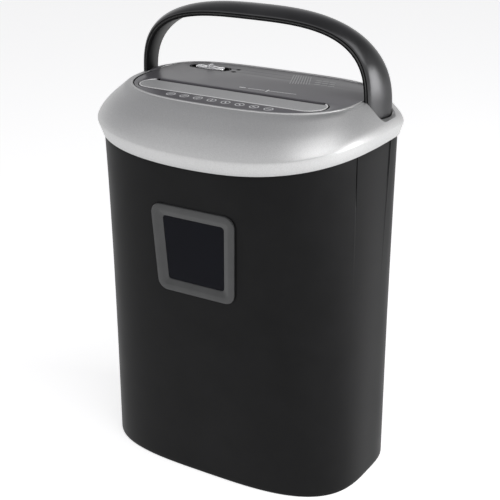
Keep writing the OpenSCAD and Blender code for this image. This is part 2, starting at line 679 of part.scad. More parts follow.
// One toothed disc: three hooked teeth, each with a relief behind it
teeth_per_disc = 3;
function disc_points(flip) =
    let (span = 360 / teeth_per_disc)
    [for (k = [0:teeth_per_disc - 1]) each
        [for (q = concat([[0, disc_r]], [for (a = [14:14:span - 22]) [a, disc_r - 0.8]],
                         [[span - 13, disc_r - 1.2], [span - 6, disc_r - 3.6]]))
            let (a = k * span + q[0]) [q[1] * cos(a), flip * q[1] * sin(a)]]];
core_r = 11;
disc_run = (disc_n - 1) * disc_pitch + disc_t;
discs_x0 = -(disc_run + disc_pitch / 2) / 2;
disc_twist = 17;
module cutter_stack(y, x0, flip) {
    difference() {
        union() {
            rod_x(core_r, -hex_end + 0.4, hex_end - 0.4, y, shaft_z);
            for (k = [0:disc_n - 1]) translate([x0 + k * disc_pitch, y, shaft_z])
                rotate([90, 0, 90]) linear_extrude(disc_t) rotate(flip * k * disc_twist) polygon(disc_points(flip));
        }
        translate([-plate_x, y, shaft_z]) rotate([0, 90, 0]) cylinder(r = hex_r + seat, h = plate_gap, $fn = 6);
    }
}
module front_cutters() { color("#7c8186") cutter_stack(front_y, discs_x0, 1); }
module rear_cutters() { color("#7c8186") cutter_stack(rear_y, discs_x0 + disc_pitch / 2, -1); }
// Comb whose fingers reach between the discs to the core
module stripper(s, x0) {
    y = slot_y + s * shaft_gap / 2;
    finger_gap = 0.35;
    bar_in = shaft_gap / 2 + disc_r + 1;
    difference() {
        union() {
            yz(-plate_x, plate_gap) difference() {
                union() {
                    translate([min(slot_y + s * bar_in, slot_y + s * (bar_in + 4.5)), shaft_z - rod_dz - 3])
                        square([4.5, 2 * rod_dz + 6]);
                    for (z = [-1, 1]) translate([slot_y + s * rod_dy, shaft_z + z * rod_dz]) circle(r = rod_r + 1.8);
                    for (z = [-1, 1]) translate([min(slot_y + s * rod_dy, slot_y + s * (bar_in + 2)),
                        shaft_z + z * rod_dz - 3]) square([bar_in + 2 - rod_dy, 6]);
                }
                for (z = [-1, 1]) translate([slot_y + s * rod_dy, shaft_z + z * rod_dz]) circle(r = rod_r + seat);
            }
            for (k = [0:disc_n - 2])
                yz(x0 + k * disc_pitch + disc_t + finger_gap, disc_pitch - disc_t - 2 * finger_gap) difference() {
                    polygon([[slot_y + s * (bar_in + 1), shaft_z - 14], [slot_y + s * (bar_in + 1), shaft_z + 14],
                             [y + s * 4, shaft_z + 12], [y + s * 4, shaft_z - 12]]);
                    translate([y, shaft_z]) circle(r = core_r + 0.5);
                }
        }
    }
}
module front_stripper() { color("#2b2b2f") stripper(-1, discs_x0); }
module rear_stripper() { color("#2b2b2f") stripper(1, discs_x0 + disc_pitch / 2); }

// ---- Gears ----
addendum = 0.8;
dedendum = 1.15;
pressure = 20;
backlash = 0.26;
function involute(a) = tan(a) * 180 / PI - a;
// Half the angle of a tooth at radius r
function half_tooth(m, z, r) =
    let (p = m * z / 2, base = p * cos(pressure), q = max(r, base))
    90 / z - backlash / 4 / p * 180 / PI + involute(pressure) - involute(acos(min(1, base / q)));
function gear_points(m, z) =
    let (p = m * z / 2, radii = [p - dedendum * m, max(p - dedendum * m * 0.55, p * cos(pressure)), p, p + addendum * m])
    [for (k = [0:z - 1]) each concat(
        [for (r = radii) let (a = 360 * k / z - half_tooth(m, z, r)) [r * cos(a), r * sin(a)]],
        [for (i = [3:-1:0]) let (r = radii[i], a = 360 * k / z + half_tooth(m, z, r)) [r * cos(a), r * sin(a)]])];
// Gear on an axis along X; turn is the direction of its first tooth in the Y-Z plane
module gear(m, z, x, t, y, zc, bore, turn) {
    translate([x, y, zc]) rotate([90, 0, 90]) linear_extrude(t) difference() {
        rotate(turn) polygon(gear_points(m, z));
        circle(r = bore);
    }
}
sync_turn = 180 / sync_teeth;     // the rear gear has a gap where the front gear has a tooth
module front_sync_gear() {
    color("#d9d6c8") gear(heavy_m, sync_teeth, sync_x, sync_t, front_y, shaft_z, journal_r + seat, 0);
}
module rear_sync_gear() {
    color("#d9d6c8") gear(heavy_m, sync_teeth, sync_x, sync_t, rear_y, shaft_z, journal_r + seat, 180 + sync_turn);
}
to_idler = atan2(idler_z - shaft_z, idler_y - rear_y);
to_motor = atan2(motor_z - idler_z, motor_y - idler_y);
idler_pin_r = 4;
module final_gear() {
    color("#ece9dd") gear(heavy_m, final_teeth, final_x, final_t, rear_y, shaft_z, journal_r + seat, to_idler);
}
module idler_gear() {
    color("#ece9dd") {
        gear(heavy_m, idler_small, final_x, large_x - final_x, idler_y, idler_z, idler_pin_r + fit,
            to_idler + 180 + 180 / idler_small);
        gear(light_m, idler_large, large_x, large_t, idler_y, idler_z, idler_pin_r + fit, to_motor);
        difference() {
            rod_x(6.5, plate_x + plate_t + gap, final_x, idler_y, idler_z);
            rod_x(idler_pin_r + fit, plate_x, final_x + 1, idler_y, idler_z);
        }
    }
}
module motor_pinion() {
    color("#b08d4a") gear(light_m, pinion_teeth, large_x, large_t + 0.6, motor_y, motor_z, shaft_r + seat,
        to_motor + 180 + 180 / pinion_teeth);
}
module idler_pin() {
    color("#c3c6c9") {
        rod_x(idler_pin_r, plate_x, lid_x + lid_t, idler_y, idler_z);
        rod_x(idler_pin_r + 2, plate_x - 1.5, plate_x, idler_y, idler_z);
    }
}
module idler_clip() {
    color("#8c9094") difference() {
        rod_x(idler_pin_r + 2.5, large_x + large_t + gap, lid_x - seat, idler_y, idler_z);
        rod_x(idler_pin_r + seat, large_x, lid_x + 1, idler_y, idler_z);
        translate([large_x, idler_y - 2.5, idler_z - 20]) cube([20, 5, 20]);
    }
}
lid_posts = [[front_y - 17, shaft_z - 27], [front_y - 17, shaft_z + 27], [motor_y + 6, motor_z - 12],
             [motor_y - 8, motor_z - 27]];
module gearbox_cover() {
    color("#26262a") {
        yz(lid_x, lid_t) difference() {
            offset(r = 5) polygon([lid_posts[0], lid_posts[3], lid_posts[2], [motor_y + 6, motor_z + 5],
                [idler_y + 20, idler_z + 12], [idler_y + 12, idler_z + 22], [idler_y - 12, idler_z + 22],
                lid_posts[1]]);
            translate([idler_y, idler_z]) circle(r = idler_pin_r + seat);
        }
        for (q = lid_posts) rod_x(3.4, plate_x + plate_t, lid_x + eps, q[0], q[1]);
    }
}

// ---- Motor ----
shaft_r = 2.5;
motor_boss = 9;
can_wall = 1.6;
can_x = plate_x - motor_l;
motor_screw_spots = [for (a = [60, 240]) [motor_y + 15 * cos(a), motor_z + 15 * sin(a)]];
plate_back = motor_y + motor_r;
module at_motor() { translate([0, motor_y, motor_z]) children(); }
module motor_can() {
    color("#7f8488") difference() {
        at_motor() union() {
            rod_x(motor_r, can_x, plate_x);
            rod_x(motor_boss, plate_x, plate_x + plate_t);
        }
        at_motor() rod_x(motor_r - can_wall, can_x - 1, plate_x - 2.4);
        at_motor() rod_x(shaft_r + fit, can_x, plate_x + 20);
        for (q = motor_screw_spots) rod_x(1.5 + seat, plate_x - 10, plate_x + 1, q[0], q[1]);
    }
}
cap_t = 5;
module motor_end_cap() {
    color("#2a2a2c") difference() {
        at_motor() union() {
            rod_x(motor_r, can_x - cap_t, can_x);
            rod_x(motor_r - can_wall - seat, can_x, can_x + 3);
            rod_x(7, can_x - cap_t - 3, can_x - cap_t);
        }
        at_motor() rod_x(shaft_r + fit, can_x - 20, can_x + 20);
    }
}
magnet_t = 2.4;
module motor_magnets() {
    color("#3c3c40") difference() {
        at_motor() rod_x(motor_r - can_wall - seat, can_x + 14, plate_x - 14);
        at_motor() rod_x(motor_r - can_wall - magnet_t, can_x, plate_x);
        for (s = [-1, 1]) at_motor() translate([can_x, -8, s > 0 ? 0 : -40]) cube([motor_l, 16, 40]);
    }
}
armature_r = motor_r - can_wall - magnet_t - 0.6;
module motor_rotor() {
    color("#6f5a3c") difference() {
        at_motor() union() {
            rod_x(shaft_r, can_x - 16, large_x + large_t + 1);
            rod_x(armature_r, can_x + 16, plate_x - 16);
            rod_x(7, can_x + 6, can_x + 13);
        }
        for (a = [0:45:315]) at_motor() rotate([a, 0, 0]) translate([can_x + 15, -1.2, armature_r - 7])
            cube([motor_l, 2.4, 12]);
    }
}
fan_blades = 8;
module motor_fan() {
    color("#e8e6df") difference() {
        at_motor() union() {
            rod_x(5.5, can_x - 14.5, can_x - 9);
            rod_x(19, can_x - 10.2, can_x - 9);
            for (a = [0:fan_blades - 1]) rotate([a * 360 / fan_blades, 0, 0]) translate([can_x - 14.5, -0.6, 4.5])
                cube([5, 1.2, 14]);
        }
        at_motor() rod_x(shaft_r + seat, can_x - 20, can_x);
    }
}
module motor_screws() {
    color("#b9bcc0") for (q = motor_screw_spots) {
        rod_x(1.5, plate_x - 6, plate_x + plate_t, q[0], q[1]);
        rod_x(3.2, plate_x + plate_t, plate_x + plate_t + 1.8, q[0], q[1]);
    }
}

// ---- Screws ----
module screw_up(q, r_head, length) {
    translate([q[0], q[1], bin_h - 2.2]) cylinder(r = r_head, h = 2.2, $fn = 24);
    translate([q[0], q[1], bin_h - 0.5]) cylinder(r = 1.35, h = length, $fn = 24);
}
module handle_screws() { color("#85888c") for (q = handle_screw_spots) screw_up(q, 2.8, 14); }
module chassis_screws() { color("#85888c") for (q = boss_spots) screw_up(q, 2.8, 16); }

// ---- Electronics ----
board_t = 1.6;
module circuit_board() {
    color("#2f6b3c") difference() {
        translate([board_x, board_y, board_z]) cube([board_l, board_w, board_t]);
        for (b = board_spots) translate([b[0], b[1], board_z - 1]) cylinder(r = 1.5, h = 5, $fn = 24);
    }
}
module board_parts() {
    z = board_z + board_t;
    // transformer, relay, capacitors and connectors
    translate([board_x, board_y, z]) {
        color("#c9a24a") translate([14, 7, 0]) cube([26, 20, 16]);
        color("#3d5a9a") translate([46, 10, 0]) cube([18, 15, 14]);
        for (x = [58, 71]) color("#20242c") translate([x, board_w - 8, 0]) cylinder(r = 4.5, h = 12);
        color("#d8d6cc") for (x = [6, 26]) translate([x, board_w - 5.5, 0]) cube([12, 5, 8]);
        color("#55585c") translate([69, 10, 0]) cube([3, 16, 18]);
    }
}
pin_y = slot_y + slot_t / 2 + chute_wall + 4.4;
pin_z = chute_z + 10;
pin_r = 1.5;
module sensor_lever() {
    color("#ded9c9") difference() {
        union() {
            yz(-2, 4) {
                // finger that lies across the slot, and the vane behind the pin
                polygon([[slot_y - 1.2, pin_z - 6], [slot_y - 0.6, pin_z - 4], [pin_y - 1, pin_z + 2],
                         [pin_y + 9, pin_z + 4], [pin_y + 12, pin_z + 2], [pin_y + 12, pin_z - 1],
                         [pin_y + 1, pin_z - 2.6], [pin_y - 2, pin_z - 2.8]]);
                translate([pin_y, pin_z]) circle(r = 3.2);
            }
        }
        rod_x(pin_r + fit, -10, 10, pin_y, pin_z);
    }
}
ear_gap = 2.6;
ear_t = 2.4;
module sensor_pin() { color("#c3c6c9") rod_x(pin_r, -ear_gap - ear_t - 0.6, ear_gap + ear_t + 0.6, pin_y, pin_z); }
module sensor_ears() {
    for (s = [-1, 1]) yz(s > 0 ? ear_gap : -ear_gap - ear_t, ear_t) difference() {
        translate([slot_y + slot_t / 2 + chute_wall - 0.5, pin_z - 3.4]) square([pin_y - slot_y, 7]);
        translate([pin_y, pin_z]) circle(r = pin_r + seat);
    }
}
module sensor_switch() {
    y = pin_y + 7;
    color("#303034") difference() {
        translate([-6, y, pin_z - 5]) cube([12, 10, panel_low - pin_z + 5]);
        translate([-2.6, y - 1, pin_z - 6]) cube([5.2, 7.2, 17]);
    }
}

// ---- Interlock ----
collar_z = lock_z + 16;
collar_t = 1.4;
spring_top = collar_z + collar_t + 9.1;
module interlock_plunger() {
    color("#c9c5b8") translate([lock_x, lock_y, 0]) {
        translate([0, 0, lock_z]) cylinder(r = lock_r, h = 20.5);
        translate([0, 0, collar_z]) cylinder(r = lock_r + 1.8, h = collar_t);
    }
}
spring_mean = 3.5;
spring_wire = 0.3;
spring_turns = 5;
module interlock_spring() {
    n = spring_turns * 14;
    low = collar_z + collar_t + spring_wire + 0.02;
    high = spring_top - spring_wire - 0.02;
    rings = [for (i = [0:n]) let (a = 360 * i / 14, z = mix(low, high, i / n))
        [for (k = [0:5]) let (b = -60 * k, r = spring_mean + spring_wire * cos(b))
            [lock_x + r * cos(a), lock_y + r * sin(a), z + spring_wire * sin(b)]]];
    color("#b8bbbe") skin(rings);
}
module interlock_switch() {
    color("#34343a") {
        translate([lock_x - 3, lock_y - 5, spring_top]) cube([13, 10, 5]);
        translate([lock_x + 8, lock_y - 5, flange_z]) cube([5, 10, spring_top + 5 - flange_z]);
    }
}

bin_shell();
window_frame();
window_pane();
head_cover();
top_panel();
feed_tray();
head_chassis();
handle_outer();
handle_inner();
handle_screws();
chassis_screws();
switch_bezel();
switch_body();
mode_slider();
indicator_lights();
cord_gland();
left_frame_plate();
right_frame_plate();
tie_rods();
shaft_bushes();
gearbox_cover();
front_cutter_shaft();
front_cutters();
front_sync_gear();
front_shaft_clip();
rear_cutter_shaft();
rear_cutters();
rear_sync_gear();
final_gear();
rear_shaft_clip();
front_stripper();
rear_stripper();
idler_pin();
idler_gear();
idler_clip();
motor_can();
motor_end_cap();
motor_magnets();
motor_rotor();
motor_pinion();
motor_fan();
motor_screws();
circuit_board();
board_parts();
sensor_lever();
sensor_pin();
sensor_switch();
interlock_plunger();
interlock_spring();
interlock_switch();
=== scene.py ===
"""Paper shredder: camera, light, stage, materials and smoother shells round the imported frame."""

import math

import bmesh
import bpy
from mathutils import Matrix, Vector


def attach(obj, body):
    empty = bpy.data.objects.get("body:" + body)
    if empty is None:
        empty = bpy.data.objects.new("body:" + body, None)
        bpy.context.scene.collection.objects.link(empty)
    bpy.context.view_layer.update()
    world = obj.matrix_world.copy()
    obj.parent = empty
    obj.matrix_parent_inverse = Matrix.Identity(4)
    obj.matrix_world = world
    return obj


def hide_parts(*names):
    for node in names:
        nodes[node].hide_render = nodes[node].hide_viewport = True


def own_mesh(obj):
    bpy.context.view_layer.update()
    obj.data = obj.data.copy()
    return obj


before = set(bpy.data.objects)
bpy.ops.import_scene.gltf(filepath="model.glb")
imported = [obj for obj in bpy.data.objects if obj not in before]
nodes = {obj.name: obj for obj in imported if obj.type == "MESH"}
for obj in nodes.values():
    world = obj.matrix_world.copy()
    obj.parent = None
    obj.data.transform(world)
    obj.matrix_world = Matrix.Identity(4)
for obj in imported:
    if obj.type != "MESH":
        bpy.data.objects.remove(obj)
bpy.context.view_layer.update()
MM = 0.001


def new_object(name, data):
    obj = bpy.data.objects.new(name, data)
    bpy.context.scene.collection.objects.link(obj)
    return obj


# ---------------------------------------------------------------- camera
AZIMUTH, ELEVATION, ROLL = 32.092, 21.048, -0.81  # degrees
DISTANCE = 1421.7  # mm from the target
TARGET = (-12.85, 38.3, 283.17)  # mm
SENSOR, LENS = 36.0, 85.6512  # mm
SHIFT = (0.00234, -0.0686)  # in image widths
NEAR, FAR = 0.05, 50  # metres


def make_camera():
    az, el, roll = (math.radians(v) for v in (AZIMUTH, ELEVATION, ROLL))
    back = Vector((math.sin(az) * math.cos(el), -math.cos(az) * math.cos(el), math.sin(el)))
    right = Vector((math.cos(az), math.sin(az), 0))
    up = back.cross(right)
    rolled_right = right * math.cos(roll) + up * math.sin(roll)
    rolled_up = up * math.cos(roll) - right * math.sin(roll)
    data = bpy.data.cameras.new("camera")
    data.sensor_width, data.lens = SENSOR, LENS
    data.shift_x, data.shift_y = SHIFT
    data.clip_start, data.clip_end = NEAR, FAR
    cam = new_object("camera", data)
    turn = Matrix((rolled_right, rolled_up, back)).transposed().to_4x4()
    cam.matrix_world = Matrix.Translation((Vector(TARGET) + back * DISTANCE) * MM) @ turn
    bpy.context.scene.camera = cam
    bpy.context.scene.view_settings.view_transform = "Standard"


# ---------------------------------------------------------------- materials
def new_material(name):
    mat = bpy.data.materials.new(name)
    mat.use_nodes = True
    return mat, mat.node_tree, mat.node_tree.nodes["Principled BSDF"]


def link(tree, a, b):
    tree.links.new(a, b)


def object_coords(tree, scale=(1, 1, 1)):
    coord = tree.nodes.new("ShaderNodeTexCoord")
    mapping = tree.nodes.new("ShaderNodeMapping")
    mapping.inputs["Scale"].default_value = scale
    link(tree, coord.outputs["Object"], mapping.inputs["Vector"])
    return mapping.outputs["Vector"]


def noise(tree, vector, scale, detail=3.0, rough=0.5):
    n = tree.nodes.new("ShaderNodeTexNoise")
    n.inputs["Scale"].default_value = scale
    n.inputs["Detail"].default_value = detail
    n.inputs["Roughness"].default_value = rough
    link(tree, vector, n.inputs["Vector"])
    return n.outputs["Fac"]


def ramp(tree, fac, stops):
    r = tree.nodes.new("ShaderNodeValToRGB")
    while len(r.color_ramp.elements) < len(stops):
        r.color_ramp.elements.new(0.5)
    for e, (at, colour) in zip(r.color_ramp.elements, stops):
        e.position = at
        e.color = (*colour, 1)
    link(tree, fac, r.inputs["Fac"])
    return r.outputs["Color"]


def map_range(tree, value, span, to):
    m = tree.nodes.new("ShaderNodeMapRange")
    m.inputs["From Min"].default_value, m.inputs["From Max"].default_value = span
    m.inputs["To Min"].default_value, m.inputs["To Max"].default_value = to
    link(tree, value, m.inputs["Value"])
    return m.outputs["Result"]


def scaled(colour, factor):
    return tuple(min(1, c * factor) for c in colour)


def tint(tree, bsdf, fac, low, high, edge=0.3):
    """The base colour runs from low to high while fac goes from edge to 1 - edge."""
    link(tree, ramp(tree, fac, [(edge, low), (1 - edge, high)]), bsdf.inputs["Base Color"])


def gloss(tree, bsdf, fac, low, high):
    link(tree, map_range(tree, fac, (0, 1), (low, high)), bsdf.inputs["Roughness"])


def relief(tree, bsdf, fac, strength, depth):
    bump = tree.nodes.new("ShaderNodeBump")
    bump.inputs["Strength"].default_value = strength
    bump.inputs["Distance"].default_value = depth
    link(tree, fac, bump.inputs["Height"])
    link(tree, bump.outputs["Normal"], bsdf.inputs["Normal"])


# cells per metre of the noises, and the depth in metres of the relief that they make
DRIFT, SILVER_DRIFT, FLECKS = 26, 12, 1500
GRAIN_DEPTH, STREAK_DEPTH = 0.0002, 0.0001


def plastic(name, colour, rough, vary=0.12, grain=0.15, grain_scale=1800, metallic=0.0, specular=0.5):
    """Moulded plastic: fine grain, slight colour drift and uneven gloss."""
    mat, tree, bsdf = new_material(name)
    vec = object_coords(tree)
    drift = noise(tree, vec, DRIFT, 4)
    tint(tree, bsdf, drift, scaled(colour, 1 - vary), scaled(colour, 1 + vary))
    gloss(tree, bsdf, drift, rough - 0.06, rough + 0.06)
    relief(tree, bsdf, noise(tree, vec, grain_scale, 2, 0.6), grain, GRAIN_DEPTH)
    bsdf.inputs["Metallic"].default_value = metallic
    bsdf.inputs["Specular IOR Level"].default_value = specular
    return mat


def silver_plastic(name, colour, rough, metallic, specular=0.5):
    """Silver-filled plastic: tiny bright and dark flecks over a satin base."""
    mat, tree, bsdf = new_material(name)
    vec = object_coords(tree)
    flecks = noise(tree, vec, FLECKS, 2, 0.7)
    tint(tree, bsdf, flecks, scaled(colour, 0.9), scaled(colour, 1.1), 0.36)
    gloss(tree, bsdf, noise(tree, vec, SILVER_DRIFT), rough - 0.04, rough + 0.04)
    relief(tree, bsdf, flecks, 0.08, GRAIN_DEPTH)
    bsdf.inputs["Metallic"].default_value = metallic
    bsdf.inputs["Specular IOR Level"].default_value = specular
    return mat


def metal(name, colour, rough, streak=(1, 1, 1), vary=0.15, scale=300):
    """Machined or plated metal with streaks along one axis."""
    mat, tree, bsdf = new_material(name)
    lines = noise(tree, object_coords(tree, streak), scale, 4)
    tint(tree, bsdf, lines, scaled(colour, 1 - vary), colour)
    gloss(tree, bsdf, lines, rough - 0.06, rough + 0.08)
    relief(tree, bsdf, lines, 0.1, STREAK_DEPTH)
    bsdf.inputs["Metallic"].default_value = 1.0
    return mat


def window_glass():
    mat, tree, bsdf = new_material("smoked_pane")
    drift = noise(tree, object_coords(tree), 30)
    tint(tree, bsdf, drift, (0.008, 0.009, 0.016), (0.010, 0.011, 0.020))
    bsdf.inputs["Roughness"].default_value = 0.08
    bsdf.inputs["Transmission Weight"].default_value = 0.5
    bsdf.inputs["Specular IOR Level"].default_value = 0.15
    bsdf.inputs["IOR"].default_value = 1.2
    return mat


def frame_plastic():
    mat, tree, bsdf = new_material("smoked_frame")
    drift = noise(tree, object_coords(tree), 60, 4)
    tint(tree, bsdf, drift, (0.034, 0.035, 0.036), (0.044, 0.045, 0.046))
    bsdf.inputs["Roughness"].default_value = 0.28
    bsdf.inputs["Coat Weight"].default_value = 0.15
    bsdf.inputs["Coat Roughness"].default_value = 0.1
    return mat


LOOKS = {
    "black": plastic("black_satin", (0.013, 0.013, 0.0135), 0.42, grain=0.12, grain_scale=900, specular=0.08),
    "handle": plastic("handle_gunmetal", (0.075, 0.075, 0.077), 0.3, grain=0.05, grain_scale=1100,
                      metallic=0.85),
    "handle_in": plastic("handle_inner_black", (0.004, 0.004, 0.0045), 0.42, grain=0.1, specular=0.08),
    # painted highlight: lighter grey for the chamfers along the handle's seam
    "seam": plastic("handle_seam", (0.10, 0.10, 0.10), 0.4, specular=0.3),
    "inner": plastic("inner_black", (0.018, 0.018, 0.02), 0.5),
    "silver": silver_plastic("silver_cover", (0.61, 0.61, 0.61), 0.47, 0.85),
    # painted highlight: a lighter silver for the tray's lip
    "lip": silver_plastic("silver_lip_highlight", (0.80, 0.80, 0.80), 0.4, 0.6),
    "tray": silver_plastic("silver_tray", (0.42, 0.42, 0.425), 0.5, 0.1, 0.25),
    "charcoal": plastic("charcoal_panel", (0.115, 0.111, 0.122), 0.34, vary=0.05, grain=0.05),
    "bezel": plastic("bezel_black", (0.006, 0.006, 0.006), 0.4, specular=0.08),
    "chrome": metal("chrome_knob", (0.88, 0.88, 0.89), 0.24, vary=0.03),
    "steel": metal("steel_turned", (0.56, 0.57, 0.58), 0.30, streak=(0.05, 1, 1)),
    "plated": metal("steel_plated", (0.60, 0.62, 0.64), 0.36, scale=60),
    "cutter": metal("steel_cutters", (0.36, 0.37, 0.38), 0.34, streak=(1, 0.2, 0.2)),
    "clip": metal("spring_steel", (0.20, 0.21, 0.22), 0.38),
    "bronze": metal("bronze", (0.55, 0.37, 0.13), 0.42, scale=500),
    "brass": metal("brass", (0.72, 0.50, 0.18), 0.28),
    "nylon": plastic("nylon_gear", (0.78, 0.75, 0.65), 0.45, vary=0.04, specular=0.4),
    "ferrite": plastic("ferrite", (0.045, 0.045, 0.05), 0.6),
    "copper": metal("windings", (0.40, 0.20, 0.09), 0.42, streak=(0.1, 1, 1), scale=900, vary=0.4),
    "board": plastic("solder_mask", (0.02, 0.13, 0.045), 0.32, vary=0.2),
    "parts": plastic("board_parts", (0.52, 0.38, 0.10), 0.42, vary=0.3),
    "rubber": plastic("rubber_gland", (0.012, 0.012, 0.012), 0.62, grain=0.3),
    "lens": plastic("dark_lens", (0.004, 0.006, 0.004), 0.5, specular=0.04),
    "faint": plastic("faint_print", (0.44, 0.44, 0.45), 0.5, vary=0.03),
    "mark": plastic("pale_print", (0.80, 0.80, 0.81), 0.5, vary=0.03),
    "pane": window_glass(),
    "window_frame": frame_plastic(),
}

NODE_LOOK = {
    "bin_shell": "black", "window_frame": "window_frame", "window_pane": "pane",
    "head_cover": "silver", "top_panel": "charcoal", "feed_tray": "tray", "head_chassis": "inner",
    "handle_outer": "handle", "handle_inner": "handle", "handle_screws": "plated", "chassis_screws": "plated",
    "switch_bezel": "bezel", "switch_body": "inner", "mode_slider": "chrome", "indicator_lights": "lens",
    "cord_gland": "rubber", "left_frame_plate": "plated", "right_frame_plate": "plated", "tie_rods": "steel",
    "shaft_bushes": "bronze", "gearbox_cover": "inner", "front_cutter_shaft": "steel",
    "front_cutters": "cutter", "front_sync_gear": "nylon", "front_shaft_clip": "clip",
    "rear_cutter_shaft": "steel", "rear_cutters": "cutter", "rear_sync_gear": "nylon", "final_gear": "nylon",
    "rear_shaft_clip": "clip", "front_stripper": "inner", "rear_stripper": "inner", "idler_pin": "steel",
    "idler_gear": "nylon", "idler_clip": "clip", "motor_can": "plated", "motor_end_cap": "inner",
    "motor_magnets": "ferrite", "motor_rotor": "copper", "motor_pinion": "brass", "motor_fan": "nylon",
    "motor_screws": "plated", "circuit_board": "board", "board_parts": "parts", "sensor_lever": "nylon",
    "sensor_pin": "steel", "sensor_switch": "inner", "interlock_plunger": "nylon",
    "interlock_spring": "steel", "interlock_switch": "inner",
}
for name, obj in nodes.items():
    obj.data.materials.clear()
    obj.data.materials.append(LOOKS[NODE_LOOK[name]])


# ---------------------------------------------------------------- mesh helpers
def tidy_mesh(obj, angle=32):
    """Merge, face outwards and shade smooth, with edges sharp beyond the angle in degrees."""
    bm = bmesh.new()
    bm.from_mesh(obj.data)
    bmesh.ops.remove_doubles(bm, verts=bm.verts, dist=1e-6)
    bmesh.ops.recalc_face_normals(bm, faces=bm.faces)
    bm.to_mesh(obj.data)
    bm.free()
    obj.data.shade_smooth()
    obj.data.set_sharp_from_angle(angle=math.radians(angle))


def solid(name, points, faces, angle=32):
    """A solid from points in mm: a scratch one for cutting, or the start of a piece."""
    mesh = bpy.data.meshes.new(name)
    mesh.from_pydata([Vector(p) * MM for p in points], [], faces)
    obj = new_object(name, mesh)
    tidy_mesh(obj, angle)
    return obj


def settle(obj, body, stands_for):
    """Hand a finished piece to its body and the nodes that it replaces."""
    if body:
        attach(obj, body)
    if stands_for:
        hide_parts(*stands_for)


def add_mesh(name, points, faces, look, body, angle=32, stands_for=()):
    obj = solid(name, points, faces, angle)
    obj.data.materials.append(LOOKS[look])
    settle(obj, body, stands_for)
    return obj


def loft(rings, closed=False):
    """Points and faces of a surface through rings of equal length, capped unless it closes on itself."""
    n, m = len(rings[0]), len(rings)
    points = [p for r in rings for p in r]
    faces = []
    for j in range(m if closed else m - 1):
        a, b = j * n, ((j + 1) % m) * n
        faces += [(a + i, a + (i + 1) % n, b + (i + 1) % n, b + i) for i in range(n)]
    if not closed:
        faces.append(tuple(range(n))[::-1])
        faces.append(tuple((m - 1) * n + i for i in range(n)))
    return points, faces


def worked_mesh(obj):
    """A new mesh with the object's modifiers, or its curve's settings, worked in."""
    bpy.context.view_layer.update()
    return bpy.data.meshes.new_from_object(obj.evaluated_get(bpy.context.evaluated_depsgraph_get()))


def cut(obj, cutter, angle=32, operation="DIFFERENCE"):
    mod = obj.modifiers.new("cut", "BOOLEAN")
    mod.operation, mod.solver, mod.object = operation, "EXACT", cutter
    done = worked_mesh(obj)
    obj.modifiers.clear()
    old, obj.data = obj.data, done
    bpy.data.meshes.remove(old)
    bpy.data.objects.remove(cutter)
    tidy_mesh(obj, angle)


def dress(obj, look, chosen):
    """Give one more material to the faces chosen by centre (mm), normal and index."""
    obj.data.materials.append(LOOKS[look])
    for face in obj.data.polygons:
        if chosen(face.center / MM, face.normal, face.index):
            face.material_index = len(obj.data.materials) - 1


def block(name, low, high):
    points = [(x, y, z) for x in (low[0], high[0]) for y in (low[1], high[1]) for z in (low[2], high[2])]
    faces = [(0, 1, 3, 2), (4, 6, 7, 5), (0, 4, 5, 1), (2, 3, 7, 6), (0, 2, 6, 4), (1, 5, 7, 3)]
    return solid(name, points, faces)


def soft_block(name, low, high, radius, look, body):
    obj = block(name, low, high)
    bm = bmesh.new()
    bm.from_mesh(obj.data)
    bmesh.ops.bevel(bm, geom=bm.edges[:], offset=radius * MM, segments=4, profile=0.5, affect="EDGES")
    bm.to_mesh(obj.data)
    bm.free()
    tidy_mesh(obj, 40)
    obj.data.materials.append(LOOKS[look])
    settle(obj, body, ())


def column(name, outline, low, high):
    """A scratch solid that stands on a plan outline."""
    return solid(name, *loft([[(x, y, z) for x, y in outline] for z in (low, high)]))


def rod(name, r, x0, x1, y, z):
    return solid(name, *loft([[(x, y + py, z + pz) for py, pz in circle(r)] for x in (x0, x1)]))


def plate(name, outlines, low, high, edge, look, body):
    """A flat plate with holes and softened edges; the first outline is the outside."""
    curve = bpy.data.curves.new(name, "CURVE")
    curve.dimensions, curve.fill_mode = "2D", "BOTH"
    for pts in outlines:
        line = curve.splines.new("POLY")
        line.points.add(len(pts) - 1)
        for p, (x, y) in zip(line.points, pts):
            p.co = (x * MM, y * MM, 0, 1)
        line.use_cyclic_u = True
    curve.extrude = (high - low) / 2 * MM - edge * MM
    curve.bevel_depth, curve.bevel_resolution, curve.offset = edge * MM, 2, -edge * MM
    holder = new_object(name + "_curve", curve)
    mesh = worked_mesh(holder)
    bpy.data.objects.remove(holder)
    mesh.transform(Matrix.Translation((0, 0, (low + high) / 2 * MM)))
    obj = new_object(name, mesh)
    tidy_mesh(obj, 40)
    mesh.materials.clear()
    mesh.materials.append(LOOKS[look])
    settle(obj, body, ())
    return obj


# ---------------------------------------------------------------- curves and outlines
def mix(a, b, t):
    return a + (b - a) * t


def rise(t, low, high=1.0):
    """0 up to low, 1 from high."""
    return min(1, max(0, (t - low) / (high - low)))


def smooth(t):
    return t * t * (3 - 2 * t)


def even_angles(curve, span, count, samples):
    """Angles from 0 to span whose points on the curve lie at even distances."""
    fine = [span * i / samples for i in range(samples + 1)]
    pts = [curve(a) for a in fine]
    run = [0.0]
    for p, q in zip(pts, pts[1:]):
        run.append(run[-1] + math.dist(p, q))
    out, j = [], 0
    for i in range(count + 1):
        want = run[-1] * i / count
        while j < samples - 1 and run[j + 1] < want:
            j += 1
        out.append(mix(fine[j], fine[j + 1], (want - run[j]) / max(run[j + 1] - run[j], 1e-9)))
    return out


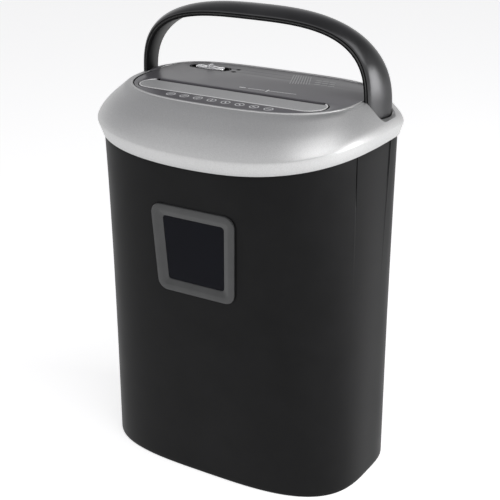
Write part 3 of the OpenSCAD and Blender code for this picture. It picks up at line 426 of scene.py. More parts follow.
def spline(stops, count):
    """Points along a smooth curve through the stops (Catmull-Rom)."""
    out = []
    for i in range(len(stops) - 1):
        p0, p1 = stops[max(i - 1, 0)], stops[i]
        p2, p3 = stops[i + 1], stops[min(i + 2, len(stops) - 1)]
        for k in range(count):
            t = k / count
            out.append(tuple(0.5 * (2 * b + (c - a) * t + (2 * a - 5 * b + 4 * c - d) * t * t
                                    + (3 * b - a - 3 * c + d) * t ** 3)
                             for a, b, c, d in zip(p0, p1, p2, p3)))
    out.append(tuple(stops[-1]))
    return out


def shift(points, x, y):
    return [(px + x, py + y) for px, py in points]


def circle(r, x=0.0, y=0.0, steps=40):
    return [(x + r * math.cos(math.tau * i / steps), y + r * math.sin(math.tau * i / steps))
            for i in range(steps)]


def stadium(length, width, steps=16):
    r, c = width / 2, (length - width) / 2
    out = []
    for sx, start in ((1, -math.pi / 2), (-1, math.pi / 2)):
        for k in range(steps + 1):
            a = start + math.pi * k / steps
            out.append((sx * c + r * math.cos(a), r * math.sin(a)))
    return out


def bar(x0, y0, x1, y1, width):
    """Outline of a straight bar with round ends."""
    a = math.atan2(y1 - y0, x1 - x0)
    r = width / 2
    out = []
    for x, y, start in ((x1, y1, a - math.pi / 2), (x0, y0, a + math.pi / 2)):
        out += [(x + r * math.cos(start + math.pi * k / 6), y + r * math.sin(start + math.pi * k / 6))
                for k in range(7)]
    return out


def densify(points, step):
    out = []
    for p, q in zip(points, points[1:] + points[:1]):
        n = max(1, round(math.dist(p, q) / step))
        out += [tuple(mix(a, b, k / n) for a, b in zip(p, q)) for k in range(n)]
    return out


# A plan is a rounded outline: half width, front, widest y, back, exponents of its front and back.
def plan_point(plan, angle):
    c, s = math.cos(angle), math.sin(angle)
    half, front, mid, back, n_front, n_back = plan
    n = n_front if s < 0 else n_back
    return (half * math.copysign(abs(c) ** (2 / n), c),
            mid + (front - mid if s < 0 else back - mid) * abs(s) ** (2 / n))


def within(plan, x, y):
    half, front, mid, back, n_front, n_back = plan
    n, reach = (n_front, mid - front) if y < mid else (n_back, back - mid)
    return (abs(x) / half) ** n + (abs(y - mid) / reach) ** n < 1


def grow(plan, d):
    return (plan[0] + d, plan[1] - d, plan[2], plan[3] + d, plan[4], plan[5])


# ---------------------------------------------------------------- sizes, as in the imported model (mm)
# bin
BIN_W, BIN_D, BIN_H, WALL, FLOOR_Z = 330.0, 204.0, 409.0, 2.4, 6.0
FOOT_SIDE, FOOT_FRONT, FOOT_BACK = 0.5, 12.5, 8.0  # how far the foot lies inside the rim
RIM_MID, FOOT_MID, TOP_MID = 55.0, 15.0, 27.0
RIM_N, FOOT_N, BACK_N, FOOT_BACK_N, FLARE = 3.37, 3.25, 3.0, 3.8, 0.57
EDGE_DROP = 18.0  # how far the front edge droops in the middle
RIM_PLAN = (165.0, -102.0, RIM_MID, 102.0, RIM_N, BACK_N)
# window
WIN_TOP, WIN_LOW, WIN_H, WIN_Z, WIN_BORDER, WIN_R = 110.0, 101.0, 105.0, 286.0, 14.0, 13.0
WIN_NECK, WIN_PROUD = WIN_BORDER - 5, 2.6
# head cover, with the panel let into its top
SKIRT_Z, TOP_Z, BAND_H, BAND_OUT, COVER_WALL, GAP = 403.5, 448.0, 13.5, 5.9, 2.4, 0.3
TOP_PLAN = (141.5, -67.0, TOP_MID, 104.5, 2.72, 3.6)
RIM_T, LEDGE, PANEL_T = 2.0, 4.0, 3.2
PANEL_TOP = TOP_Z - 0.4
PANEL_LOW = PANEL_TOP - PANEL_T
BOSSES = [(-55, -52.2), (55, -52.2), (-124.8, 14), (-124.8, 60), (-34, 94.4), (34, 94.4)]
BOSS_R, BOSS_BORE, BOSS_LOW, BORE_TOP = 3.5, 1.4, 412, 427
GLAND_X, GLAND_Z, GLAND_R, GLAND_Y = -20.0, SKIRT_Z + 21, 7.05, (92, 122)
# handle: a flare is how much wider or higher its back is than its front
HANDLE_W, HANDLE_H, HANDLE_T, HANDLE_D, HANDLE_Y = 299.0, 81.5, 6.7, 35.8, 24.5
LEG_FLARE, TOP_FLARE, FRONT_N, REAR_N, CROWN = 11.1, 4.8, 3.24, 2.57, 4.8
ARCH_LOW = 12.5  # how far below the cover's top the arch springs
LEG_LOW, ARCH_Z, ARCH_H = 412.0, TOP_Z - ARCH_LOW, HANDLE_H + ARCH_LOW
POCKET_Z, POCKET_R, POCKET_WALL = BIN_H + 18.5, 9.0, 1.8
# feed tray
SLOT_W, SLOT_T, SLOT_Y = 222.0, 5.0, -1.6
SLOT_BACK = SLOT_Y + SLOT_T / 2
TRAY_W, TRAY_D, CHUTE_WALL, TRAY_LIP = 240.0, 40.6, 1.6, 1.6
TRAY_Y = SLOT_BACK + 1.9 - TRAY_D / 2
TRAY_TOP, TRAY_LOW, RAMP_FALL, CHUTE_Z = TOP_Z + 0.2, PANEL_LOW - 4, 0.7, 414.0
EAR_IN, EAR_OUT, EAR_Y, EAR_Z = 2.6, 5.0, 10.5, (420.6, 427.6)  # the two ears that hold the lever's pin
PIN_R, PIN_Y, PIN_Z = 1.55, 6.9, 424
# switch, lights and interlock
SWITCH_X, SWITCH_Y, RECESS_L, RECESS_W = -87.0, 74.5, 54.0, 16.0
KNOB_L, KNOB_W, KNOB_TOP, KNOB_LOW, STEM_LOW = 39.0, 13.0, TOP_Z + 0.8, 444.9, 438.8
LIGHTS, LIGHT_R = [(-51, 70), (-51, 81)], 1.75
LOCK_X, LOCK_Y, LOCK_Z = -150.0, 8.0, 403.0

RING, ARCH_STEPS = 200, 90  # points round a plan, rings along the handle's arch
ANGLES = even_angles(lambda a: plan_point(RIM_PLAN, a), math.tau, RING, 4000)[:-1]


def droop(x):
    return EDGE_DROP * (1 - min(abs(x) / (BIN_W / 2), 1) ** 2)


# ---------------------------------------------------------------- bin
SIDE_LOW, SIDE_STEPS = 6.0, 26
FOOT_PROFILE = [(2, 8.5), (0.6, 7.6), (0, 7), (0, 2.2), (0.3, 1.2), (1, 0.5), (2.6, 0.1)]  # height, inset
FLOOR_PROFILE = [(8, 0), (3, 1.2), (1, 3), (0, 6)]  # height over the floor, inset from the wall
# a shallow flute on each side, between two narrow grooves: degrees in front of the side's middle, half width
GROOVES = ((17.5, 0.3), (0.24, 0.055))
GROOVE_GRID = (-1.6, -1, 1, 1.6)  # where points follow a groove, in half widths
FLUTE_DEPTH, FLUTE_LOW = 0.9, 0.6  # mm, share of the bin's height
# the last of these is the share of the bin's height above which the grooves' floors are painted near-black as
# shade
GROOVE_DEPTH, GROOVE_LOW, GROOVE_FULL, GROOVE_SHADE_FROM = 1.0, 0.83, 0.93, 0.87
BIN_ANGLES = sorted(ANGLES + [math.radians(start + way * (at + half * k))
                              for start, way in ((180, 1), (360, -1))
                              for at, half in GROOVES for k in GROOVE_GRID])


def bin_plan(t):
    k = (1 - FLARE) * (1 - t) + FLARE * (1 - t ** 3)
    return (BIN_W / 2 - FOOT_SIDE * k, -BIN_D / 2 + FOOT_FRONT * k, mix(FOOT_MID, RIM_MID, t),
            BIN_D / 2 - FOOT_BACK * k, mix(FOOT_N, RIM_N, t), mix(FOOT_BACK_N, BACK_N, t))


def ahead(angle):
    """Degrees in front of the middle of the nearer side, negative behind it."""
    a = math.degrees(angle)
    return 360 - a if a > 270 else a - 180


def in_groove(a):
    """Whether a is on a groove's floor: its points are at 1 half width, and those beside it at 1.6."""
    return any(abs(a - at) < half * 1.2 for at, half in GROOVES)


def flute_depth(angle, t):
    a = ahead(angle)
    flute = FLUTE_DEPTH * rise(t, FLUTE_LOW) if GROOVES[1][0] < a < GROOVES[0][0] else 0.0
    groove = GROOVE_DEPTH * rise(t, GROOVE_LOW, GROOVE_FULL) if in_groove(a) else 0.0
    return flute + groove


def bin_ring(z, inset=0.0, fluted=False):
    t = z / BIN_H
    plan = grow(bin_plan(t), -inset)
    ring = []
    for a in BIN_ANGLES:
        x, y = plan_point(grow(plan, -flute_depth(a, t)) if fluted else plan, a)
        ring.append((x, y, z - (droop(x) * t ** 8 if y < plan[2] else 0)))
    return ring


def bin_front(z):
    return bin_plan(z / BIN_H)[1]


def make_bin():
    heights = [SIDE_LOW + (BIN_H - 1 - SIDE_LOW) * i / SIDE_STEPS for i in range(SIDE_STEPS + 1)]
    rings = [bin_ring(z, d) for z, d in FOOT_PROFILE]
    rings += [bin_ring(z, 0, True) for z in heights]
    rings += [bin_ring(BIN_H - 0.4, 0.15, True), bin_ring(BIN_H, 0.6, True), bin_ring(BIN_H, WALL - 0.6),
              bin_ring(BIN_H - 0.4, WALL - 0.15)]
    rings += [bin_ring(z, WALL) for z in reversed(heights[1:])]
    rings += [bin_ring(FLOOR_Z + z, WALL + d) for z, d in FLOOR_PROFILE]
    points, faces = loft(rings)
    obj = add_mesh("bin_body", points, faces, "black", None)
    # painted shade: the grooves' floors above that height take the near-black bezel colour
    count = len(BIN_ANGLES)
    pairs = zip(BIN_ANGLES, BIN_ANGLES[1:] + BIN_ANGLES[:1])
    dark = {k for k, (a, b) in enumerate(pairs) if in_groove(ahead((a + b) / 2))}
    dress(obj, "bezel", lambda c, n, k: k % count in dark and c.z > BIN_H * GROOVE_SHADE_FROM)
    cut(obj, solid("opening", *loft([window_ring(-WIN_NECK, h) for h in (-14, 14)])))  # right through the wall
    settle(obj, "bin", ("bin_shell",))
    # the rib that holds the interlock's plunger up
    wall, tip, half = -BIN_W / 2 + WALL - 1, LOCK_X + 4, 7
    rib = [(wall, LOCK_Z - 45), (wall, LOCK_Z), (tip, LOCK_Z), (tip, LOCK_Z - 12)]
    points, faces = loft([[(x, y, z) for x, z in rib] for y in (LOCK_Y - half, LOCK_Y + half)])
    obj = add_mesh("interlock_rib", points, faces, "black", "bin")


# ---------------------------------------------------------------- window
WIN_LEAN = math.atan((bin_front(WIN_Z - WIN_H / 2) - bin_front(WIN_Z + WIN_H / 2)) / WIN_H)
# growth of the window's outline, height over the bin's front (mm)
FRAME_PROFILE = [(0, -3.2), (0, 1.3), (-0.25, 2.0), (-0.8, 2.45), (-1.6, WIN_PROUD), (-7.2, WIN_PROUD),
                 (-8.2, 2.3), (-12.6, 0.9), (-13.6, 0.5), (-14, 0.0), (-14, -0.4), (-11.2, -0.4),
                 (-11.2, -4.0), (-9.05, -4.0), (-9.05, -3.2)]
PANE_PROFILE = [(-11.1, -4.0), (-11.1, -0.6), (-11.3, -0.4)]
# a thin near-black ring round the frame: painted shade for the groove between the frame and the bin
SHADE_RING_PROFILE = [(0.9, -3.0), (0.9, -0.1), (0.6, 0.1), (-0.2, 0.1), (-0.2, -3.0)]


def window_outline(inset):
    """Rounded trapezoid, inset from the frame's outer edge, in the window's plane."""
    r, steps = max(WIN_R - inset, 4), 10
    corners = [(-WIN_LOW / 2, -WIN_H / 2), (WIN_LOW / 2, -WIN_H / 2),
               (WIN_TOP / 2, WIN_H / 2), (-WIN_TOP / 2, WIN_H / 2)]
    lines = []
    for i in range(4):
        a, b = Vector(corners[i]), Vector(corners[(i + 1) % 4])
        way = (b - a).normalized()
        normal = Vector((-way.y, way.x))
        lines.append((a + normal * (inset + r), way, normal))
    out = []
    for i in range(4):
        p, w, n0 = lines[i - 1]
        q, v, n1 = lines[i]
        s = ((q - p).x * v.y - (q - p).y * v.x) / (w.x * v.y - w.y * v.x)
        centre = p + w * s
        a0, a1 = math.atan2(-n0.y, -n0.x), math.atan2(-n1.y, -n1.x)
        if a1 < a0:
            a1 += 2 * math.pi
        for k in range(steps + 1):
            a = mix(a0, a1, k / steps)
            out.append((centre.x + r * math.cos(a), centre.y + r * math.sin(a)))
    return out


def window_ring(growth, height):
    """The window's outline, grown and raised from the bin's front."""
    c, s = math.cos(WIN_LEAN), math.sin(WIN_LEAN)
    return [(x, bin_front(WIN_Z) - height * c - y * s, WIN_Z + y * c - height * s)
            for x, y in window_outline(-growth)]


def make_window():
    points, faces = loft([window_ring(d, h) for d, h in FRAME_PROFILE], closed=True)
    add_mesh("window_surround", points, faces, "window_frame", "bin", 24, ("window_frame",))
    points, faces = loft([window_ring(d, h) for d, h in PANE_PROFILE])
    add_mesh("window_glass", points, faces, "pane", "bin", 30, ("window_pane",))
    # painted shade: the near-black ring in the groove round the frame
    points, faces = loft([window_ring(d, h) for d, h in SHADE_RING_PROFILE], closed=True)
    add_mesh("window_shade_ring", points, faces, "bezel", "bin", 30)


# ---------------------------------------------------------------- head cover
# the dome's section: share of the way from its low edge to the top's rim, share of the height
DOME = [(0, 0), (0, 0.05)] + spline([(0.005, 0.075), (0.05, 0.2), (0.12, 0.31), (0.25, 0.44), (0.45, 0.605),
                                     (0.8, 0.86), (1, 0.982)], 4)
# the bead round the top: growth of the top's plan, height over the top
BEAD = [(0.3, -0.75), (0.3, 0.1), (0.05, 0.45), (-0.5, 0.6), (-1.3, 0.6), (-1.8, 0.4), (-RIM_T, 0.0)]
# how far the section leaves that, as a share of the height, where across it is most, and the rest of the way
HOLLOW, HOLLOW_AT = 0.055, 0.1
HOLLOW_FROM, HOLLOW_SPAN = 6, 36  # degrees from the middle of a side
SHOULDER, SHOULDER_AT, SHOULDER_REST = 0.12, 0.8, 0.2
LINER = 1.1  # mm that the pockets' walls stay under the dome's face


def shoulder(a, across):
    """The dome stands fuller at its sides, and its low edge hollower in front and at the back."""
    full = SHOULDER * math.cos(a) ** 4 * min(across / SHOULDER_AT, (1 - across) / SHOULDER_REST)
    from_side = abs(math.degrees(math.asin(math.sin(a))))
    share = smooth(rise(from_side, HOLLOW_FROM, HOLLOW_FROM + HOLLOW_SPAN))
    return full - HOLLOW * share * across / HOLLOW_AT * math.exp(1 - across / HOLLOW_AT)


def cover_ring(out, across, up, dz=0.0):
    ring = []
    for a in ANGLES:
        e = plan_point(grow(RIM_PLAN, BAND_OUT + out), a)
        t = plan_point(grow(TOP_PLAN, out), a)
        low = SKIRT_Z + BAND_H - (droop(e[0]) if math.sin(a) < 0 else 0)
        ring.append((mix(e[0], t[0], across), mix(e[1], t[1], across),
                     mix(low, TOP_Z, up + shoulder(a, across)) + dz))
    return ring


def skirt_ring(out, dz=0.0):
    ring = []
    for a in ANGLES:
        e = plan_point(grow(RIM_PLAN, out), a)
        ring.append((e[0], e[1], SKIRT_Z + dz - (droop(e[0]) if math.sin(a) < 0 else 0)))
    return ring


def level_ring(out, z):
    return [(*plan_point(grow(TOP_PLAN, out), a), z) for a in ANGLES]


def pocket(side, c):
    """The space round a leg of the handle, cut into the dome's side, grown by c."""
    y0, y1 = HANDLE_Y - 3 * GAP - c, HANDLE_Y + HANDLE_D + 3 * GAP + c
    low, high, r = POCKET_Z - c, TOP_Z + 30, POCKET_R
    arc = [(r * math.sin(math.pi / 2 * k / 8), r * (1 - math.cos(math.pi / 2 * k / 8))) for k in range(9)]
    shape = [(y1, high), (y0, high)] + [(y0 + r - a, low + b) for a, b in reversed(arc)]
    shape += [(y1 - r + a, low + b) for a, b in arc]
    near = [(side * (HANDLE_W / 2 - HANDLE_T / 2 - c + LEG_FLARE * (y - y0 + 1) / (y1 - y0 + 2)), y, z)
            for y, z in shape]
    return solid("pocket", *loft([near, [(side * 200, y, z) for y, z in shape]]))


def pocket_wall(c):
    """Whether a face's centre lies on the wall between a pocket and the panel."""
    inner = HANDLE_W / 2 - HANDLE_T + LEG_FLARE * (c.y - HANDLE_Y) / HANDLE_D
    return (HANDLE_Y - 0.6 < c.y < HANDLE_Y + HANDLE_D and c.z > POCKET_Z + POCKET_R
            and 139 < abs(c.x) < inner)


def shaded_panel_gap(c):
    """Whether a face's centre lies in the front part of the gap round the panel, whose walls are painted
    near-black as shade.
    """
    return (PANEL_LOW - 0.1 < c.z < TOP_Z - 0.2 and c.y < TOP_MID
            and within(grow(TOP_PLAN, 0.2 - RIM_T), c.x, c.y))


def make_cover():
    rings = [skirt_ring(GAP + 0.3), skirt_ring(GAP + 1.2), skirt_ring(GAP + 1.5, 0.3)]
    rings += [cover_ring(0, a, u) for a, u in DOME]
    rings += [level_ring(d, TOP_Z + z) for d, z in BEAD]
    rings += [level_ring(-RIM_T, PANEL_LOW), level_ring(-RIM_T - LEDGE, PANEL_LOW),
              level_ring(-RIM_T - LEDGE, PANEL_LOW - 2)]
    rings += [cover_ring(-COVER_WALL, a, u, -COVER_WALL * a) for a, u in reversed(DOME[:-4:2])]
    rings += [skirt_ring(GAP)]
    points, faces = loft(rings, closed=True)
    sharp = 28  # degrees
    obj = add_mesh("cover_shell", points, faces, "silver", None, sharp)
    for side in (-1, 1):
        core = [cover_ring(-LINER, a, u, -LINER * a) for a, u in DOME[:-1]]
        core += [level_ring(-LINER, TOP_Z - 1.9)]
        liner = solid("liner", *loft(core))
        cut(liner, pocket(side, POCKET_WALL), sharp, "INTERSECT")
        cut(obj, liner, sharp, "UNION")
        cut(obj, pocket(side, 0), sharp)
        cut(obj, column("leg_hole", leg_outline(side, GAP), SKIRT_Z + BAND_H, 500), sharp)
    ring = circle(GLAND_R, GLAND_X, GLAND_Z, 48)
    cut(obj, solid("gland_hole", *loft([[(x, y, z) for x, z in ring] for y in GLAND_Y])), sharp)
    dress(obj, "charcoal", lambda c, n, k: pocket_wall(c))
    # painted shade: near-black on the cover's walls in the front part of the gap round the panel
    dress(obj, "bezel", lambda c, n, k: shaded_panel_gap(c))
    settle(obj, "head", ("head_cover",))


# ---------------------------------------------------------------- handle
# In the handle, f runs from 0 at its front to 1 at its back, and d is the depth inwards in mm.
def crown(f):
    return CROWN * (1 - (2 * f - 1) ** 2)


def flatter(d, s):
    """The crown is lower on the legs (s = 0) than over the top (s = 1)."""
    return d * mix(0.5, 1, s) if d < 0 else d


def leg_outline(side, c):
    w0, w1 = HANDLE_W / 2, HANDLE_W / 2 + LEG_FLARE
    back = HANDLE_Y + HANDLE_D + c
    pts = [(side * (w0 - HANDLE_T - c), HANDLE_Y - c), (side * (w0 + c), HANDLE_Y - c)]
    pts += [(side * (mix(w0, w1, f) + crown(f) + c), HANDLE_Y + HANDLE_D * f)
            for f in (k / 8 for k in range(1, 8))]
    pts += [(side * (w1 + c), back), (side * (w1 - HANDLE_T - c), back)]
    return pts if side > 0 else pts[::-1]


def arch_point(angle, f, d):
    c, s, n = math.cos(angle), math.sin(angle), mix(FRONT_N, REAR_N, f)
    d = flatter(d, s)
    w = HANDLE_W / 2 + LEG_FLARE * f - d
    h = ARCH_H + TOP_FLARE * f - d
    return (w * math.copysign(abs(c) ** (2 / n), c), HANDLE_Y + HANDLE_D * f, ARCH_Z + h * abs(s) ** (2 / n))


def leg_ring(profile, side):
    return [(side * (HANDLE_W / 2 + LEG_FLARE * f - flatter(d, 0)), HANDLE_Y + HANDLE_D * f, LEG_LOW)
            for f, d in profile]


def handle_piece(name, node, profile, look, black, seams):
    """A moulding along the arch; the last two arguments list strips of its profile: painted shade, painted
    highlight.
    """
    rings = [leg_ring(profile, 1)]
    rings += [[arch_point(a, f, d) for f, d in profile]
              for a in even_angles(lambda a: arch_point(a, 0.5, 3), math.pi, ARCH_STEPS, 3000)]
    rings += [leg_ring(profile, -1)]
    points, faces = loft(rings)
    obj = add_mesh(name, points, faces, look, "head", 30, (node,))
    count = len(profile)
    dress(obj, "handle_in", lambda c, n, k: k % count in black)
    dress(obj, "seam", lambda c, n, k: k % count in seams)


def make_handle():
    half = HANDLE_T / 2
    f = 1 / HANDLE_D  # share of the depth that is 1 mm
    outer = [(0, half - 0.6), (0, 1.4), (0.3 * f, 0.5), (1.0 * f, -0.2)]
    outer += [(k / 12, -crown(k / 12)) for k in range(1, 12)]
    outer += [(1 - 1.0 * f, -0.2), (1 - 0.3 * f, 0.5), (1, 1.4), (1, half - 0.35),
              (1 - 0.7 * f, half), (0.8 * f, half)]
    inner = [(0.8 * f, half + 0.15), (0, half + 0.75), (0, HANDLE_T - 1.2), (0.35 * f, HANDLE_T - 0.4),
             (1.2 * f, HANDLE_T), (1 - 1.2 * f, HANDLE_T), (1 - 0.35 * f, HANDLE_T - 0.4),
             (1, HANDLE_T - 1.2), (1, half + 0.5), (1 - 0.7 * f, half + 0.15)]
    last = len(outer) - 1
    # painted shade: near-black strips on the outer moulding's faces beside the parting groove; painted
    # highlight: lighter grey on both mouldings' seam chamfers
    handle_piece("handle_upper", "handle_outer", outer, "handle", (0, last - 3), (last, last - 2))
    handle_piece("handle_lower", "handle_inner", inner, "handle_in", (), (0, 8))


# ---------------------------------------------------------------- panel, tray and switch
def make_panel():
    outer = [plan_point(grow(TOP_PLAN, -RIM_T - 1.2), a) for a in ANGLES]
    tray = shift(stadium(TRAY_W + 2.8, TRAY_D + 1.6), 0, TRAY_Y + 0.4)
    recess = shift(stadium(RECESS_L + 3, RECESS_W + 1.6), SWITCH_X, SWITCH_Y)
    lights = [circle(LIGHT_R, x, y, 24) for x, y in LIGHTS]
    obj = plate("panel_plate", [outer, tray, recess] + lights, PANEL_LOW, PANEL_TOP, 0.35, "charcoal",
                None)
    for x, y in BOSSES:
        cut(obj, column("boss", circle(BOSS_R, x, y, 32), BOSS_LOW, PANEL_LOW + 1), 40, "UNION")
        cut(obj, column("boss_bore", circle(BOSS_BORE, x, y, 24), BOSS_LOW - 1, BORE_TOP), 40)
    # painted shade: the panel's edge faces, round it and round its holes, take the near-black bezel colour
    dress(obj, "bezel", lambda c, n, k: abs(n.z) < 0.4)
    settle(obj, "head", ("top_panel",))


def tray_floor(x, y):
    """Height of the tray's ramp, which falls to the slot and rises at both ends."""
    front = TRAY_Y - TRAY_D / 2 + TRAY_LIP
    z = TRAY_TOP - 0.4 - RAMP_FALL * (y - front) / (TRAY_D - 2 * TRAY_LIP)
    return mix(z, TRAY_TOP - 0.4, smooth(rise(abs(x), 103, 118)) * 0.9)


def tray_ring(inset, height=None, above=0.0):
    ring = []
    for x, y in shift(stadium(TRAY_W - 2 * inset, TRAY_D - 2 * inset, 24), 0, TRAY_Y):
        ring.append((x, y, tray_floor(x, y) + above if height is None else height))
    return ring


def make_tray():
    lip, wall = TRAY_LIP, CHUTE_WALL
    rings = [tray_ring(0.6, TRAY_LOW), tray_ring(0, TRAY_LOW + 0.6), tray_ring(0, TRAY_TOP - 0.5),
             tray_ring(0.15, TRAY_TOP - 0.15), tray_ring(0.5, TRAY_TOP), tray_ring(lip - 0.5, TRAY_TOP),
             tray_ring(lip - 0.15, TRAY_TOP - 0.15)]
    rings += [tray_ring(lip, above=0.5), tray_ring(lip + 0.3, above=0.15)]
    rings += [tray_ring(d) for d in (lip + 0.9, 4, 6, 9, 12, 15, 18, 20.1)]
    points, faces = loft(rings)
    sharp = 30  # degrees
    obj = add_mesh("tray_insert", points, faces, "tray", None, sharp)
    # strips of the loft: the wall first, painted near-black as shade in the gap round the tray, then the lip
    count = len(rings[0])
    dress(obj, "bezel", lambda c, n, k: k // count < 2)
    # painted highlight: the lip takes a lighter silver than the tray
    dress(obj, "lip", lambda c, n, k: 2 <= k // count < 8)
    # the chute below, with ears for the sensor lever's pin
    cut(obj, block("chute", (-SLOT_W / 2 - wall, SLOT_Y - SLOT_T / 2 - wall, CHUTE_Z),
                   (SLOT_W / 2 + wall, SLOT_BACK + wall - 0.01, TRAY_LOW + 1)), sharp, "UNION")
    for x0, x1 in ((-EAR_OUT, -EAR_IN), (EAR_IN, EAR_OUT)):
        cut(obj, block("ear", (x0, SLOT_BACK + wall - 0.5, EAR_Z[0]), (x1, EAR_Y, EAR_Z[1])), sharp, "UNION")
    cut(obj, rod("ear_hole", PIN_R, -8, 8, PIN_Y, PIN_Z), sharp)
    cut(obj, block("slot", (-SLOT_W / 2, SLOT_Y - SLOT_T / 2, 400), (SLOT_W / 2, SLOT_BACK, 460)), sharp)
    cut(obj, block("lever_window", (-3, SLOT_Y, 400), (3, SLOT_BACK + 4, 430)), sharp)
    dress(obj, "charcoal", lambda c, n, k: c.y > SLOT_BACK - 0.3 and c.z > TRAY_LOW)
    settle(obj, "head", ("feed_tray",))


def knob_ring(outline, inset, z, dished=True):
    """The knob's outline drawn in towards its long axis, with a finger dish at each end."""
    half, r = (KNOB_L - KNOB_W) / 2, KNOB_W / 2
    ring = []
    for x, y in outline:
        cx = max(-half, min(half, x))
        k = max(0.02, (r - inset) / r)
        px, py = cx + (x - cx) * k, y * k
        dish = 0.7 * math.exp(-((abs(px) - 9.5) / 4.6) ** 2) if dished else 0
        ring.append((px + SWITCH_X, py + SWITCH_Y, z - dish))
    return ring


def make_slider():
    outline = densify(stadium(KNOB_L, KNOB_W, 12), 1.0)
    rings = [knob_ring(outline, 0.3, KNOB_LOW, False), knob_ring(outline, 0, KNOB_LOW + 0.3, False)]
    rings += [knob_ring(outline, d, KNOB_TOP + z) for d, z in (
        (0, -1.1), (0.12, -0.6), (0.45, -0.2), (1.0, 0), (2, 0.1), (3.5, 0.15), (5, 0.18), (6.3, 0.2))]
    points, faces = loft(rings)
    obj = add_mesh("slider_knob", points, faces, "chrome", None, 40)
    settle(obj, "mode_slider", ("mode_slider",))
    x, y = SWITCH_X, SWITCH_Y
    soft_block("slider_rib", (x - 1.7, y - 5.2, KNOB_TOP - 1.5), (x + 1.7, y + 5.2, TOP_Z + 3.2), 0.9,
               "chrome", "mode_slider")
    soft_block("slider_stem", (x - 3, y - 1.5, STEM_LOW), (x + 3, y + 1.5, KNOB_LOW + 0.3), 0.3, "chrome",
               "mode_slider")


def print_on_panel(name, outlines, look):
    plate(name, outlines, PANEL_TOP - 0.06, PANEL_TOP + 0.06, 0.02, look, "head")


def make_marks():
    """Plain generic prints that can't be read, and dark rims round the lights."""
    outlines = [bar(34 + 3 * i, 55 + i, 19 + 3.2 * i, 92, 1.2) for i in range(8)]
    outlines += [bar(61 - 3 * i + 9 * k, 66 + 7.5 * i, 65.5 - 3 * i + 9 * k, 66.4 + 7.5 * i, 3.4)
                 for i in range(3) for k in range(3)]
    print_on_panel("panel_prints", outlines, "faint")
    outlines = [bar(-7, 14.4, -1, 14.8, 2.4), bar(4, 14.2, 24, 15.6, 1.1), bar(30, 15.8, 63, 18, 1.0),
                bar(28, 12.4, 28, 18.8, 2.0)]
    print_on_panel("line_prints", outlines, "mark")
    outlines = []
    for i in range(8):
        x, y = -59 + 18 * i, -47.0
        lean = math.radians(25 + 22 * i)
        dx, dy = 2.2 * math.cos(lean), 2.2 * math.sin(lean)
        outlines += [circle(5.4, x, y, 28), circle(4.4, x, y, 28), bar(x - dx, y - dy, x + dx, y + dy, 1.5)]
    print_on_panel("strip_prints", outlines, "mark")
    print_on_panel("light_rings", [circle(r, x, y, 28) for x, y in LIGHTS for r in (2.9, LIGHT_R)], "bezel")


def make_spring():
    """The interlock's spring, copied onto the head with a mesh of its own; the real one shortens as its
    plunger rises.
    """
    coil = new_object("spring_coil", nodes["interlock_spring"].data.copy())
    settle(coil, "head", ("interlock_spring",))
    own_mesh(coil)


# ---------------------------------------------------------------- stage and light
LAMPS = [  # name, place and aim (metres), size (metres), watts
    ("key", (1.15, -0.65, 1.95), (0, 0, 0.4), (2.0, 1.7), 21),
    ("front", (-0.5, -1.3, 1.6), (0, 0, 0.4), (1.4, 1.0), 2),
    ("right", (1.15, 0.25, 0.5), (0.15, 0.05, 0.45), (0.5, 0.5), 5),
]
FLOOR_REACH, FLOOR_GLOW = 30, 0.62
# white round the horizon and a darker ceiling above, by the height of the direction
SKY = [(0.12, (0.80, 0.80, 0.80)), (0.45, (0.42, 0.42, 0.43)), (0.8, (0.20, 0.20, 0.21))]
SKY_LEFT, SKY_RIGHT, SKY_LIT, SKY_SEEN = 1.35, 0.65, 0.85, 1.0


def area_light(name, place, aim, size, power):
    data = bpy.data.lights.new(name, "AREA")
    data.shape, data.size, data.size_y = "RECTANGLE", size[0], size[1]
    data.energy = power
    obj = new_object(name, data)
    obj.location = place
    obj.visible_camera = False
    obj.rotation_euler = (Vector(aim) - Vector(place)).to_track_quat("-Z", "Y").to_euler()


def join(tree, operation, a, b):
    """A maths node on a and b, where b is a socket or a number."""
    m = tree.nodes.new("ShaderNodeMath")
    m.operation = operation
    link(tree, a, m.inputs[0])
    if isinstance(b, float):
        m.inputs[1].default_value = b
    else:
        link(tree, b, m.inputs[1])
    return m.outputs["Value"]


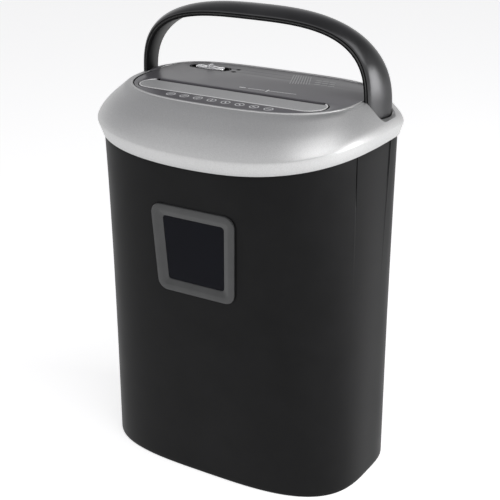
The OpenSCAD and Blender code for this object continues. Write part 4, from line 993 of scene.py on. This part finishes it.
def seen_ray(tree):
    """1 for rays that the camera, a gloss or a pane sends out, 0 for rays that light the object."""
    path = tree.nodes.new("ShaderNodeLightPath")
    out = path.outputs["Is Camera Ray"]
    for name in ("Is Glossy Ray", "Is Transmission Ray"):
        out = join(tree, "MAXIMUM", out, path.outputs[name])
    return out


def make_floor():
    me = bpy.data.meshes.new("floor")
    r = FLOOR_REACH
    me.from_pydata([(-r, -r, 0), (r, -r, 0), (r, r, 0), (-r, r, 0)], [], [(0, 1, 2, 3)])
    floor = new_object("floor", me)
    mat, tree, bsdf = new_material("pale_floor")
    bsdf.inputs["Base Color"].default_value = (0.9, 0.9, 0.9, 1)
    bsdf.inputs["Roughness"].default_value = 0.8
    bsdf.inputs["Specular IOR Level"].default_value = 0.0
    glow = tree.nodes.new("ShaderNodeEmission")
    link(tree, join(tree, "MULTIPLY", seen_ray(tree), FLOOR_GLOW), glow.inputs["Strength"])
    both = tree.nodes.new("ShaderNodeAddShader")
    link(tree, bsdf.outputs["BSDF"], both.inputs[0])
    link(tree, glow.outputs["Emission"], both.inputs[1])
    link(tree, both.outputs["Shader"], tree.nodes["Material Output"].inputs["Surface"])
    me.materials.append(mat)


def make_world():
    world = bpy.data.worlds.new("world")
    bpy.context.scene.world = world
    world.use_nodes = True
    tree = world.node_tree
    back = tree.nodes["Background"]
    coord = tree.nodes.new("ShaderNodeTexCoord")
    split = tree.nodes.new("ShaderNodeSeparateXYZ")
    link(tree, coord.outputs["Generated"], split.inputs["Vector"])
    link(tree, ramp(tree, split.outputs["Z"], SKY), back.inputs["Color"])
    side = map_range(tree, split.outputs["X"], (-1, 1), (SKY_LEFT, SKY_RIGHT))
    level = map_range(tree, seen_ray(tree), (0, 1), (SKY_LIT, SKY_SEEN))
    link(tree, join(tree, "MULTIPLY", side, level), back.inputs["Strength"])


make_camera()
make_bin()
make_window()
make_cover()
make_handle()
make_panel()
make_tray()
make_slider()
make_marks()
make_spring()
make_floor()
make_world()
for lamp in LAMPS:
    area_light(*lamp)
